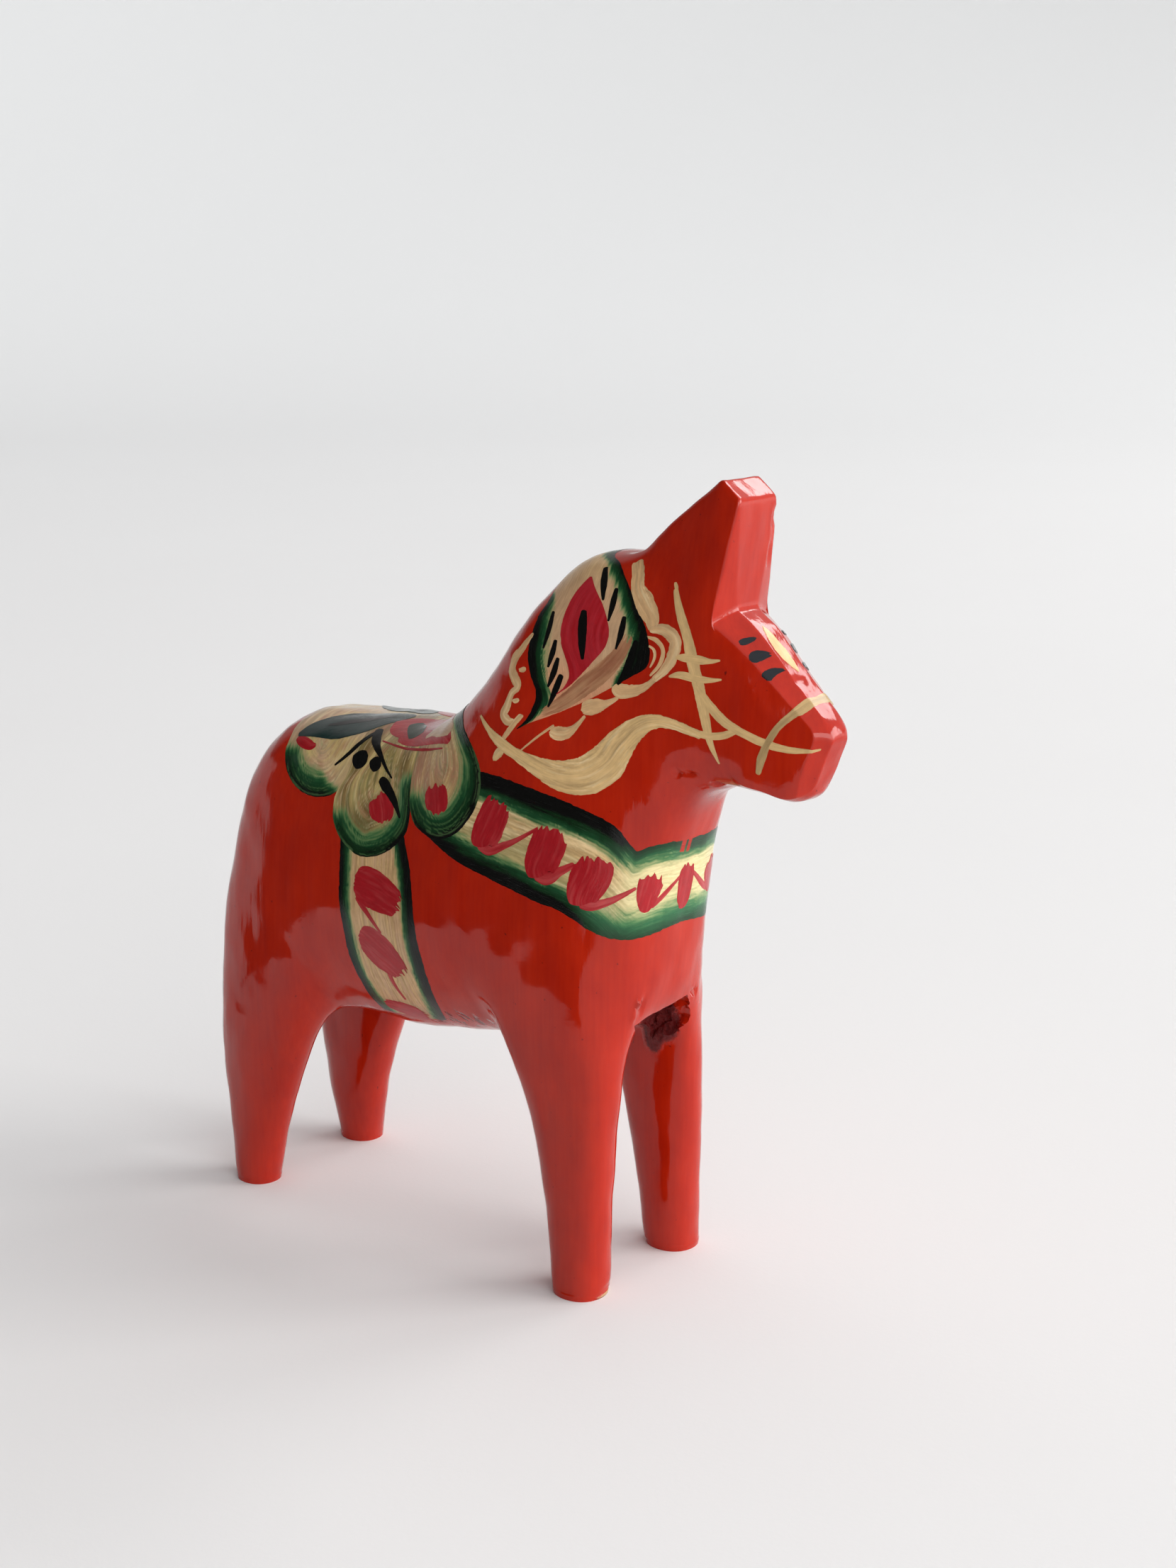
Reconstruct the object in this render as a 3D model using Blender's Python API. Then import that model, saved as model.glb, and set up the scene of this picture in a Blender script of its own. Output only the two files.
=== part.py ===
"""A dala horse: a block of pine carved into a standing horse, with its painted harness.

The horse is one piece of wood with nothing that moves. Everything else is paint, laid on it in films.
The sizes below are those of a horse 130 mm tall, in millimetres. HEIGHT scales them all.
The horse faces +X and stands on Z = 0. Only its left half (+Y) is described; the right half mirrors it.
"""

import math

import bmesh
import bpy
from mathutils import Vector
from mathutils.bvhtree import BVHTree

HEIGHT = 0.130
MM = HEIGHT / 130

# ---------------------------------------------------------------- carved body

# A section across the block is a half ring of eight points, from the back line down to the belly line.
# Each point is (share of the half width, share of the way from the top to the bottom).
RUMP_SECTION = [(0, 0), (0.55, 0), (0.95, 0.15), (1, 0.45), (1, 0.75), (0.7, 1), (0.4, 1), (0, 1)]
TORSO_SECTION = [(0, 0), (0.5, 0.01), (0.84, 0.13), (0.97, 0.42), (1, 0.7), (0.68, 0.94), (0.36, 1), (0, 1)]
NECK_SECTION = [(0, 0), (0.42, 0.01), (0.73, 0.1), (0.93, 0.36), (1.02, 0.68), (0.86, 0.9), (0.5, 1), (0, 1)]
POLL_SECTION = [(0, 0), (0.46, 0), (0.8, 0.24), (0.93, 0.46), (1, 0.7), (0.85, 0.94), (0.5, 1), (0, 1)]

# Rump to poll: (x, z) of the top, (x, z) of the bottom, half width, section.
SECTIONS = [
    ((-40.8, 68.9), (-47.6, 42.6), 8.7, RUMP_SECTION),
    ((-37.5, 77.6), (-46.4, 38.4), 14.3, TORSO_SECTION),
    ((-31, 85.5), (-33.5, 38), 16.2, TORSO_SECTION),
    ((-21, 85.4), (-18, 34.5), 17.5, TORSO_SECTION),
    ((-10.7, 86.2), (-3.3, 34), 18, TORSO_SECTION),
    ((-2.3, 86), (10, 35.6), 18.4, TORSO_SECTION),
    ((5, 87.8), (22.3, 38.4), 18.8, TORSO_SECTION),
    ((13.6, 96.5), (34, 40.2), 18, TORSO_SECTION),
    ((20.5, 107.2), (45.2, 43), 16.5, TORSO_SECTION),
    ((26.3, 113.4), (46.4, 58.2), 14, NECK_SECTION),
    ((32.3, 117.8), (48.5, 71), 11.8, NECK_SECTION),
    ((41, 118), (52, 82.2), 9.8, NECK_SECTION),
    ((48.6, 124.4), (57.2, 83.6), 8.8, POLL_SECTION),
]

# The head is whittled in flats, so its rings are given point by point, from the ears to the nose.
EAR_TOP_BACK = [(57, 0, 130.2), (57, 4.8, 130.2), (55, 7.9, 111)]
EAR_TOP_FRONT = [(60.4, 0, 127.3), (60.4, 5, 127.3)]
EAR_ROOT = [(58.6, 0, 111), (58.6, 2.7, 111)]
GROOVE_END = (57.2, 7.3, 109.4)
JAW = [(60.2, 7.4, 102), (60.5, 8, 93.6), (60.8, 7, 85.8), (60.8, 4, 84.6), (60.8, 0, 84.6)]
JAW_BACK = [(x - 3, y * 1.03, z) for x, y, z in JAW]
HEAD = [
    EAR_TOP_BACK + JAW_BACK,
    EAR_TOP_FRONT + [GROOVE_END] + JAW,
    EAR_ROOT + [GROOVE_END] + JAW,
    [(63.3, 0, 107.8), (63.3, 2.4, 107.8), (62.6, 5.9, 105.8), (64.8, 6.8, 99.3),
     (65.2, 7, 92.2), (65.2, 6.2, 85.5), (65.2, 3.5, 84.1), (65.2, 0, 84.1)],
    [(71.6, 0, 98.8), (71.6, 2, 98.8), (71, 4.5, 97.3), (70.4, 5.4, 93.4),
     (69.5, 5.6, 88.5), (69, 5, 84.2), (69, 2.6, 82.9), (69, 0, 82.9)],
    [(75, 0, 95.6), (75, 2, 95.6), (74.3, 3.9, 94.6), (73.1, 4.5, 91.8),
     (71.8, 4.5, 88.4), (70.8, 4, 84.8), (71.2, 1.9, 84), (71.2, 0, 84)],
    [(75.6, 0, 93.8), (75.6, 1.7, 93.8), (75.3, 2, 93), (74.5, 2.1, 91),
     (73.5, 2.1, 88.2), (72.4, 1.9, 85.6), (72.3, 1.3, 85), (72.3, 0, 85)],
]
EAR_RIDGE_RING = 11
EAR_BACK_RING = 13
EAR_FRONT_RING = 14
EAR_ROOT_RING = 15
NOSE_RING = 18
TIP_RING = 19

# How far rounding leaves an edge alone: 0 rounds it off, 1 keeps it sharp.
SOFT_EDGE = 0.55
CLEAR_EDGE = 0.72
KEEN_EDGE = 0.88
SOLE_EDGE = 1

# Legs grow from the underside between these rings. Levels: z, x of the back and front, y inside and outside,
# and how square the level is (1 is a rectangle, 0.7 is round).
HIND_RINGS = (1, 2, 3)
FRONT_RINGS = (6, 7, 8)
HIND_LEG = [
    (31, -46.2, -22, 7, 17, 0.8),
    (16, -44.6, -28.6, 7.6, 16.6, 0.77),
    (1.5, -41.4, -32.2, 8.8, 17.3, 0.75),
    (0, -41, -32.5, 9.1, 17.1, 0.75),
]
FRONT_LEG = [
    (35, 25.2, 43.6, 6.4, 16.7, 0.8),
    (17, 29.8, 42.5, 6.5, 15.8, 0.77),
    (1.5, 32, 42.1, 7.3, 17, 0.75),
    (0, 32.3, 41.8, 7.6, 16.8, 0.75),
]
SUBDIVISION = 2
KEPT_FACES = 0.42
MIDDLE_MERGE = 0.00001

# ---------------------------------------------------------------- paint

# Paint films lie in layers, each clear of what is under it. A real brush stroke is thinner than a film.
# A stroke at least BROAD_STROKE wide has one more row of points across it.
FILM_GAP = 0.3
FILM_THICKNESS = 0.25
FILM_STEP = 2.2
BOTTOM_LAYER = 0
MIDDLE_LAYER = 1
TOP_LAYER = 2
BROAD_STROKE = 3
ENAMEL_ROUGHNESS = 0.28
PAINT_ROUGHNESS = 0.35

RED = (0.62, 0.035, 0.015)
CREAM = (0.78, 0.58, 0.27)
GREEN = (0.02, 0.13, 0.045)
CRIMSON = (0.42, 0.012, 0.03)
BLACK = (0.012, 0.012, 0.014)

# Bands and panels: two edges, each a smooth line through points on the left side.
BREAST_TOP = [
    (13, 16.5, 83.5), (19.5, 16.2, 83.5), (30, 15, 82.2), (38.5, 13.5, 80), (45.3, 10.5, 75.5),
    (49.5, 3, 74.5),
]
BREAST_BOTTOM = [(6, 18, 72), (16, 18, 70), (27.5, 17, 66), (35, 16, 64), (42, 12.5, 60), (46.5, 4, 60)]
GIRTH_BACK = [(-10.5, 17, 70), (-10.5, 17, 54), (-9, 15.5, 47), (-6.5, 12, 39.5)]
GIRTH_FRONT = [(4.5, 17.5, 70), (7, 18, 59.5), (8.5, 16.5, 50), (7.5, 12.5, 40.5)]
SADDLE_EDGE = [
    (-31, 6, 83), (-25, 13, 78.5), (-17, 16, 73.5), (-12.5, 16.2, 75.5), (-11, 16.6, 70), (-3, 17.5, 66),
    (4, 17.3, 69.5), (4, 16.7, 77), (2, 13, 83.5), (0, 7, 86),
]
OVER_THE_BACK = 88.5
ARCH_STEPS = 20
MANE_BACK = [
    (29.5, 4.5, 114.8), (28, 8, 110), (26, 10, 105.5), (26, 11.5, 102), (28.5, 13, 97), (26, 14.5, 91.8),
]
MANE_FRONT = [
    (36, 3, 117.5), (41, 6.5, 114.5), (43.5, 8, 110.5), (46, 8.5, 107), (42, 10.5, 98.5), (27.5, 14, 91.5),
]

# Brush strokes: points on the left side and the stroke's width at each.
FRONT_PETAL = [((8, 10.5, 87), 5), ((11, 14, 83.5), 11), ((12.3, 16.6, 78), 13.5), ((12, 17.8, 73.5), 6)]
MANE_FLOWER = [((34.5, 7, 114), 1), ((35, 9.5, 107), 6), ((34.5, 11.5, 100.5), 5.5), ((31.5, 12.5, 96), 1)]
MANE_SCROLL_FRONT = [
    ((41.5, 5, 116.8), 2), ((44.5, 7, 111.5), 2.5), ((48.3, 7.8, 109.5), 2), ((50.8, 8.2, 106), 2.5),
    ((48.5, 9, 101), 2), ((45.5, 10, 98), 2), ((41.5, 10.5, 97), 1),
]
MANE_SCROLL_BACK = [
    ((24.3, 11, 103), 1), ((22.8, 12.5, 99.5), 2), ((22.5, 13.6, 94.5), 2), ((23, 15, 89.5), 1),
]
REIN = [
    ((17.5, 14, 91.5), 1), ((21.5, 15, 88.8), 2), ((27.5, 15.5, 86.5), 3.5), ((32.5, 14.8, 85.5), 5),
    ((38, 13, 85.8), 5.5), ((43, 11.3, 89), 4.5), ((47, 10, 92.8), 3), ((51, 9, 94), 1.5),
]
CHEEK_STRAP = [
    ((50, 6.5, 115), 1), ((53, 7.8, 107.5), 2.2), ((55.5, 8, 101), 2.2), ((57.5, 7.9, 94), 1.5),
    ((59, 7.5, 89), 0.8),
]
CHEEK_CROSSES = [
    [((52.3, 8.3, 103.7), 0.6), ((55.5, 8, 103.9), 1.6), ((59, 7.6, 104.3), 0.6)],
    [((52, 8.7, 101.5), 0.6), ((55.5, 8.2, 101), 1.6), ((59.5, 7.6, 101.2), 0.6)],
]
BRIDLE = [((57.8, 8, 97.2), 1), ((62, 7.5, 94.4), 1.5), ((67, 6.3, 92.5), 1.2), ((72.5, 4, 92.4), 0.6)]
NOSE_BAND = [((65.5, 6.4, 88), 0.8), ((67, 6.3, 92), 1.4), ((69, 5.4, 95.5), 1.4), ((71, 3.2, 98), 1.4)]
FOREHEAD_MARK = [((62.7, 0.4, 108), 0.6), ((65.2, 0.4, 105.5), 1.6), ((67.8, 0.4, 103), 0.6)]
EYE_STROKES = [
    [((61.6, 5, 106.8), 1.2), ((62.8, 3.2, 107.2), 1)],
    [((63.6, 5, 104.9), 1.2), ((64.8, 3.2, 105.3), 1)],
    [((66, 4.8, 102.6), 1.2), ((67, 3.2, 103), 1)],
]
BREAST_STROKES = [
    [((22, 17, 79.5), 3.5), ((21.5, 17.5, 73), 3.5)],
    [((33.5, 15.5, 76.3), 4), ((31, 16.8, 69.8), 3.5)],
    [((41.5, 13, 72.5), 4), ((39, 14.6, 66.2), 3.5)],
    [((48.4, 5.2, 70.5), 4), ((46.6, 6.8, 64), 3.5)],
]
GIRTH_STROKES = [
    [((-3, 17.6, 63), 5), ((-1.5, 18, 57.8), 5)],
    [((-2.6, 17.2, 52.8), 5), ((0, 16, 47.2), 5)],
]
SADDLE_DOTS = [
    [((-2, 17, 76.3), 3.4), ((-2, 17.3, 72.5), 3.4)],
    [((11.5, 16.8, 79.5), 3.4), ((11.2, 17.4, 75.8), 3.4)],
]
SADDLE_LEAF = [
    ((-24.5, -9.5, 83), 1), ((-19, -7, 84.3), 4.5), ((-12, -3.5, 85.5), 6), ((-9.5, 3, 85.6), 5),
    ((-12, 10, 83.5), 1),
]
SADDLE_FLOWER = [
    ((-5, -9.5, 84.3), 5), ((-3.5, -3, 85.8), 6.5), ((-3.5, 3, 85.8), 6.5), ((-5, 9.5, 84.3), 5),
]


def between(a, b, share):
    """The number this share of the way from a to b."""
    return a + (b - a) * share


def section_ring(top, bottom, half_width, section):
    """The eight points of one section of the body."""
    return [
        (between(top[0], bottom[0], down), out * half_width, between(top[1], bottom[1], down))
        for out, down in section
    ]


def leg_level(z, back, front, inside, outside, square):
    """Eight points round a leg at one height, from its outer back corner towards the front."""
    middle_x = (back + front) / 2
    middle_y = (inside + outside) / 2
    reach_x = (front - back) / 2 * square
    reach_y = (outside - inside) / 2 * square
    return [
        (middle_x - reach_x, middle_y + reach_y, z),
        (middle_x, outside, z),
        (middle_x + reach_x, middle_y + reach_y, z),
        (front, middle_y, z),
        (middle_x + reach_x, middle_y - reach_y, z),
        (middle_x, inside, z),
        (middle_x - reach_x, middle_y - reach_y, z),
        (back, middle_y, z),
    ]


class Cage:
    """The coarse mesh that subdivision rounds into the carved body."""

    def __init__(self):
        self.mesh = bmesh.new()
        self.crease = self.mesh.edges.layers.float.new("crease_edge")
        self.found = {}

    def vertex(self, point):
        """The vertex at a point, made once and then shared."""
        key = tuple(round(number, 3) for number in point)
        if key not in self.found:
            self.found[key] = self.mesh.verts.new(key)
        return self.found[key]

    def face(self, corners):
        """A face over the corners that differ."""
        corners = list(dict.fromkeys(corners))
        if len(corners) > 2:
            self.mesh.faces.new(corners)

    def sharpen(self, path, amount):
        """Crease the edges along a path of vertices."""
        for a, b in zip(path, path[1:]):
            edge = self.mesh.edges.get((a, b)) if a is not b else None
            if edge:
                edge[self.crease] = amount

    def skin(self, ring, other, skipped):
        """Faces between two neighbouring rings, leaving out the strips where a leg grows."""
        for i in range(len(ring) - 1):
            if i not in skipped:
                self.face([ring[i], ring[i + 1], other[i + 1], other[i]])

    def close(self, ring):
        """A flat end from a ring to the middle plane."""
        middle = [self.vertex((vertex.co.x, 0, vertex.co.z)) for vertex in ring]
        for i in range(len(ring) - 1):
            self.face([ring[i], ring[i + 1], middle[i + 1], middle[i]])

    def leg(self, rings, levels):
        """A leg from the gap left in the skin down to a flat sole."""
        back, middle, front = rings
        loop = [back[4], middle[4], front[4], front[5], front[6], middle[6], back[6], back[5]]
        for level in levels:
            lower = [self.vertex(point) for point in leg_level(*level)]
            for i in range(8):
                after = (i + 1) % 8
                self.face([loop[i], loop[after], lower[after], lower[i]])
            loop = lower
        z, back_x, front_x, inside, outside, _ = levels[-1]
        centre = self.vertex(((back_x + front_x) / 2, (inside + outside) / 2, z))
        for i in range(0, 8, 2):
            self.face([loop[i], loop[i + 1], centre, loop[i - 1]])
        self.sharpen(loop + loop[:1], SOLE_EDGE)


def crease_head(cage, rings):
    """Keep the knife's edges on the ears, brow, jaw and nose."""
    for ring in range(EAR_RIDGE_RING, EAR_BACK_RING):
        cage.sharpen([rings[ring][1], rings[ring + 1][1]], SOFT_EDGE)
    cage.sharpen(rings[EAR_BACK_RING][0:2], KEEN_EDGE)
    cage.sharpen(rings[EAR_FRONT_RING][0:2], KEEN_EDGE)
    cage.sharpen([rings[EAR_BACK_RING][1], rings[EAR_FRONT_RING][1]], KEEN_EDGE)
    cage.sharpen(rings[EAR_FRONT_RING][1:3], CLEAR_EDGE)
    cage.sharpen([rings[EAR_FRONT_RING][1], rings[EAR_ROOT_RING][1]], CLEAR_EDGE)
    cage.sharpen(rings[EAR_ROOT_RING][0:3], KEEN_EDGE)
    for ring in range(EAR_ROOT_RING, NOSE_RING):
        cage.sharpen([rings[ring][1], rings[ring + 1][1]], CLEAR_EDGE)
        cage.sharpen([rings[ring][2], rings[ring + 1][2]], CLEAR_EDGE)
    for ring in range(EAR_ROOT_RING, TIP_RING):
        cage.sharpen([rings[ring][5], rings[ring + 1][5]], SOFT_EDGE)
    cage.sharpen(rings[EAR_RIDGE_RING][0:2], SOFT_EDGE)
    cage.sharpen(rings[NOSE_RING][2:6], CLEAR_EDGE)
    cage.sharpen(rings[TIP_RING][1:6], SOFT_EDGE)


def body_cage():
    """The left half of the carved block as a coarse cage of four-sided faces."""
    cage = Cage()
    outlines = [section_ring(*section) for section in SECTIONS] + HEAD
    rings = [[cage.vertex(point) for point in outline] for outline in outlines]
    under_hind = range(HIND_RINGS[0], HIND_RINGS[-1])
    under_front = range(FRONT_RINGS[0], FRONT_RINGS[-1])
    for i in range(len(rings) - 1):
        over_leg = i in under_hind or i in under_front
        cage.skin(rings[i], rings[i + 1], (4, 5) if over_leg else ())
    cage.close(rings[0])
    cage.close(rings[-1])
    cage.leg([rings[i] for i in HIND_RINGS], HIND_LEG)
    cage.leg([rings[i] for i in FRONT_RINGS], FRONT_LEG)
    crease_head(cage, rings)
    bmesh.ops.recalc_face_normals(cage.mesh, faces=cage.mesh.faces)
    bmesh.ops.scale(cage.mesh, vec=(MM, MM, MM), verts=cage.mesh.verts)
    return cage.mesh


def paint_material(name, colour, roughness):
    """A plain opaque material."""
    material = bpy.data.materials.new(name)
    material.use_nodes = True
    shader = material.node_tree.nodes["Principled BSDF"]
    shader.inputs["Base Color"].default_value = (*colour, 1)
    shader.inputs["Roughness"].default_value = roughness
    shader.inputs["Metallic"].default_value = 0
    return material


def add_object(name, mesh, material, parent):
    """A named object in the scene, under the horse's empty."""
    mesh.materials.append(material)
    made = bpy.data.objects.new(name, mesh)
    made.parent = parent
    bpy.context.scene.collection.objects.link(made)
    return made


def carve_body(parent):
    """The whole block: the half cage mirrored, rounded and thinned out where it is plain."""
    mesh = bpy.data.meshes.new("carved_body")
    cage = body_cage()
    cage.to_mesh(mesh)
    cage.free()
    body = add_object("carved_body", mesh, paint_material("red_enamel", RED, ENAMEL_ROUGHNESS), parent)
    mirror = body.modifiers.new("Mirror", "MIRROR")
    mirror.use_axis = (False, True, False)
    mirror.merge_threshold = MIDDLE_MERGE
    rounding = body.modifiers.new("Subdivision", "SUBSURF")
    rounding.levels = SUBDIVISION
    rounding.render_levels = SUBDIVISION
    thinning = body.modifiers.new("Decimate", "DECIMATE")
    thinning.ratio = KEPT_FACES
    thinning.use_symmetry = True
    thinning.symmetry_axis = "Y"
    return body


def smooth_line(points, count):
    """Evenly numbered points on a smooth curve through the given points (Catmull-Rom)."""
    points = [Vector(point) for point in points]
    points = [points[0] * 2 - points[1]] + points + [points[-1] * 2 - points[-2]]
    spans = len(points) - 3
    line = []
    for i in range(count):
        place = spans * i / (count - 1)
        span = min(int(place), spans - 1)
        t = place - span
        a, b, c, d = points[span:span + 4]
        bend = (2 * a - 5 * b + 4 * c - d) * t + (3 * b - a - 3 * c + d) * t * t
        line.append(b + (c - a + bend) * t / 2)
    return line


def length_of(points):
    """The length of a line of points."""
    return sum((Vector(b) - Vector(a)).length for a, b in zip(points, points[1:]))


def film_mesh(name, surface, grid, layer):
    """A closed film that follows the wood under a grid of points."""
    low = FILM_GAP + layer * (FILM_GAP + FILM_THICKNESS)
    film = bmesh.new()
    sheets = []
    for height in (low, low + FILM_THICKNESS):
        sheet = []
        for line in grid:
            nearest = [surface.find_nearest(point * MM) for point in line]
            sheet.append([film.verts.new(spot + normal * height * MM) for spot, normal, _, _ in nearest])
        sheets.append(sheet)
    under, over = sheets
    rows, columns = len(grid), len(grid[0])
    for sheet in sheets:
        for i in range(rows - 1):
            for j in range(columns - 1):
                film.faces.new((sheet[i][j], sheet[i][j + 1], sheet[i + 1][j + 1], sheet[i + 1][j]))
    rim = [(0, j) for j in range(columns)] + [(i, columns - 1) for i in range(1, rows)]
    rim += [(rows - 1, j) for j in range(columns - 2, -1, -1)] + [(i, 0) for i in range(rows - 2, 0, -1)]
    for (i, j), (k, m) in zip(rim, rim[1:] + rim[:1]):
        film.faces.new((under[i][j], under[k][m], over[k][m], over[i][j]))
    bmesh.ops.recalc_face_normals(film, faces=film.faces)
    mesh = bpy.data.meshes.new(name)
    film.to_mesh(mesh)
    film.free()
    return mesh


def panel_grid(edge, other_edge):
    """Rows of points from one edge to the other."""
    rows = max(3, round(length_of(edge) / FILM_STEP))
    widest = max((Vector(b) - Vector(a)).length for a, b in zip(edge, other_edge))
    columns = max(3, round(widest / FILM_STEP))
    shares = [j / (columns - 1) for j in range(columns)]
    lines = zip(smooth_line(edge, rows), smooth_line(other_edge, rows))
    return [[a.lerp(b, share) for share in shares] for a, b in lines]


def arched_grid(edge, height):
    """Rows of points that arch over the back at a height, from an edge on the left to its mirror image."""
    rows = max(3, round(length_of(edge) / FILM_STEP))
    turns = [math.pi * j / ARCH_STEPS for j in range(ARCH_STEPS + 1)]
    grid = []
    for foot in smooth_line(edge, rows):
        rise = height - foot.z
        grid.append([Vector((foot.x, foot.y * math.cos(t), foot.z + rise * math.sin(t))) for t in turns])
    return grid


def stroke_grid(surface, stroke):
    """Rows of points across a brush stroke that runs along the wood."""
    path = [point for point, width in stroke]
    count = max(3, round(length_of(path) / FILM_STEP) + 1)
    centres = smooth_line(path, count)
    widths = smooth_line([(width, 0, 0) for point, width in stroke], count)
    columns = 4 if max(width for point, width in stroke) >= BROAD_STROKE else 3
    grid = []
    for i, centre in enumerate(centres):
        along = centres[min(i + 1, count - 1)] - centres[max(i - 1, 0)]
        normal = surface.find_nearest(centre * MM)[1]
        across = normal.cross(along).normalized() * widths[i].x
        grid.append([centre + across * (j / (columns - 1) - 0.5) for j in range(columns)])
    return grid


def mirrored(points):
    """The same points on the other side of the horse."""
    return [(x, -y, z) for x, y, z in points]


def mirrored_stroke(stroke):
    """The same brush stroke on the other side of the horse."""
    return [((x, -y, z), width) for (x, y, z), width in stroke]


def over_the_middle(points):
    """A line that carries on round the horse to its mirror image."""
    return points + mirrored(points)[::-1]


def paint_horse(body, parent):
    """Every painted film, each a closed solid of its own."""
    surface = BVHTree.FromObject(body, bpy.context.evaluated_depsgraph_get())
    cream = paint_material("cream_paint", CREAM, PAINT_ROUGHNESS)
    green = paint_material("green_paint", GREEN, PAINT_ROUGHNESS)
    crimson = paint_material("crimson_paint", CRIMSON, PAINT_ROUGHNESS)
    black = paint_material("black_paint", BLACK, PAINT_ROUGHNESS)

    def panel(name, grid, layer, paint):
        add_object(name, film_mesh(name, surface, grid, layer), paint, parent)

    def stroke(name, points, layer, paint):
        mesh = film_mesh(name, surface, stroke_grid(surface, points), layer)
        add_object(name, mesh, paint, parent)

    breast = panel_grid(over_the_middle(BREAST_TOP), over_the_middle(BREAST_BOTTOM))
    panel("breast_band", breast, BOTTOM_LAYER, cream)
    panel("saddle_petals", arched_grid(SADDLE_EDGE, OVER_THE_BACK), MIDDLE_LAYER, green)
    stroke("saddle_leaf", SADDLE_LEAF, TOP_LAYER, green)
    stroke("saddle_flower", SADDLE_FLOWER, TOP_LAYER, crimson)
    stroke("nose_band", NOSE_BAND + mirrored_stroke(NOSE_BAND)[::-1], MIDDLE_LAYER, cream)
    stroke("forehead_mark", FOREHEAD_MARK, BOTTOM_LAYER, cream)

    sides = (("left", lambda points: points, lambda points: points), ("right", mirrored, mirrored_stroke))
    for side, edge_of, stroke_of in sides:
        girth = panel_grid(edge_of(GIRTH_BACK), edge_of(GIRTH_FRONT))
        panel(f"girth_band_{side}", girth, BOTTOM_LAYER, cream)
        mane = panel_grid(edge_of(MANE_BACK), edge_of(MANE_FRONT))
        panel(f"mane_panel_{side}", mane, BOTTOM_LAYER, cream)
        stroke(f"front_petal_{side}", stroke_of(FRONT_PETAL), MIDDLE_LAYER, green)
        stroke(f"mane_flower_{side}", stroke_of(MANE_FLOWER), MIDDLE_LAYER, crimson)
        stroke(f"mane_scroll_front_{side}", stroke_of(MANE_SCROLL_FRONT), BOTTOM_LAYER, cream)
        stroke(f"mane_scroll_back_{side}", stroke_of(MANE_SCROLL_BACK), BOTTOM_LAYER, cream)
        stroke(f"rein_{side}", stroke_of(REIN), BOTTOM_LAYER, cream)
        stroke(f"cheek_strap_{side}", stroke_of(CHEEK_STRAP), BOTTOM_LAYER, cream)
        stroke(f"bridle_{side}", stroke_of(BRIDLE), BOTTOM_LAYER, cream)
        repeated = (
            ("cheek_cross", CHEEK_CROSSES, MIDDLE_LAYER, cream),
            ("eye_stroke", EYE_STROKES, BOTTOM_LAYER, black),
            ("breast_stroke", BREAST_STROKES, MIDDLE_LAYER, crimson),
            ("girth_stroke", GIRTH_STROKES, MIDDLE_LAYER, crimson),
            ("saddle_dot", SADDLE_DOTS, TOP_LAYER, crimson),
        )
        for name, strokes, layer, paint in repeated:
            for number, points in enumerate(strokes, 1):
                stroke(f"{name}_{number}_{side}", stroke_of(points), layer, paint)


def main():
    """Carve the horse, paint it, and stand the middle of its length over the origin."""
    for leftover in list(bpy.data.objects):
        bpy.data.objects.remove(leftover)
    horse = bpy.data.objects.new("horse", None)
    bpy.context.scene.collection.objects.link(horse)
    body = carve_body(horse)
    bpy.context.view_layer.update()
    paint_horse(body, horse)
    carved = body.evaluated_get(bpy.context.evaluated_depsgraph_get())
    lengths = [corner[0] for corner in carved.bound_box]
    horse.location.x = -(min(lengths) + max(lengths)) / 2


main()
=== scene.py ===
"""A dala horse: a block of pine, carved, enamelled red and painted with its harness by hand."""

import math

import bmesh
import bpy
import numpy as np
from mathutils import Matrix, Vector, noise
from mathutils.bvhtree import BVHTree


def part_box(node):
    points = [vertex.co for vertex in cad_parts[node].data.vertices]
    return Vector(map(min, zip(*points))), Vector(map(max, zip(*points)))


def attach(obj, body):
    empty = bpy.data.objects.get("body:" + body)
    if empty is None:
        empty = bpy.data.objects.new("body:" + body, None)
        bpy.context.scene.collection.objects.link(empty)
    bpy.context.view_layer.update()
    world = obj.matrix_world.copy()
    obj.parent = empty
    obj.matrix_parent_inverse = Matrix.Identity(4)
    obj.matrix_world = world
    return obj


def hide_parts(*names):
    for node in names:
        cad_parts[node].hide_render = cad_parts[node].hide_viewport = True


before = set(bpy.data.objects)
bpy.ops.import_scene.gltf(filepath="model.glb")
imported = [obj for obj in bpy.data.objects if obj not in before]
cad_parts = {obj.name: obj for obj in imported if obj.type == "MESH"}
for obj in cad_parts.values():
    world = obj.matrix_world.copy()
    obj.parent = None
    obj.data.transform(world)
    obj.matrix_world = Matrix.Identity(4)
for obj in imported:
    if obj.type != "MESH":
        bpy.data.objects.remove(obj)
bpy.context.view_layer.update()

# Shapes are worked out in millimetres, with X = 0 midway between the feet, and are moved into the frame at
# the end. The horse faces +X and its left side is +Y.
MM = 0.001


def mesh_of(name, shape):
    """A mesh made from a bmesh, which is let go."""
    mesh = bpy.data.meshes.new(name)
    shape.to_mesh(mesh)
    shape.free()
    return mesh


def placed(name, data):
    """A new object in the scene."""
    made = bpy.data.objects.new(name, data)
    bpy.context.scene.collection.objects.link(made)
    return made


# ---------------------------------------------------------------- the carved block

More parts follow.
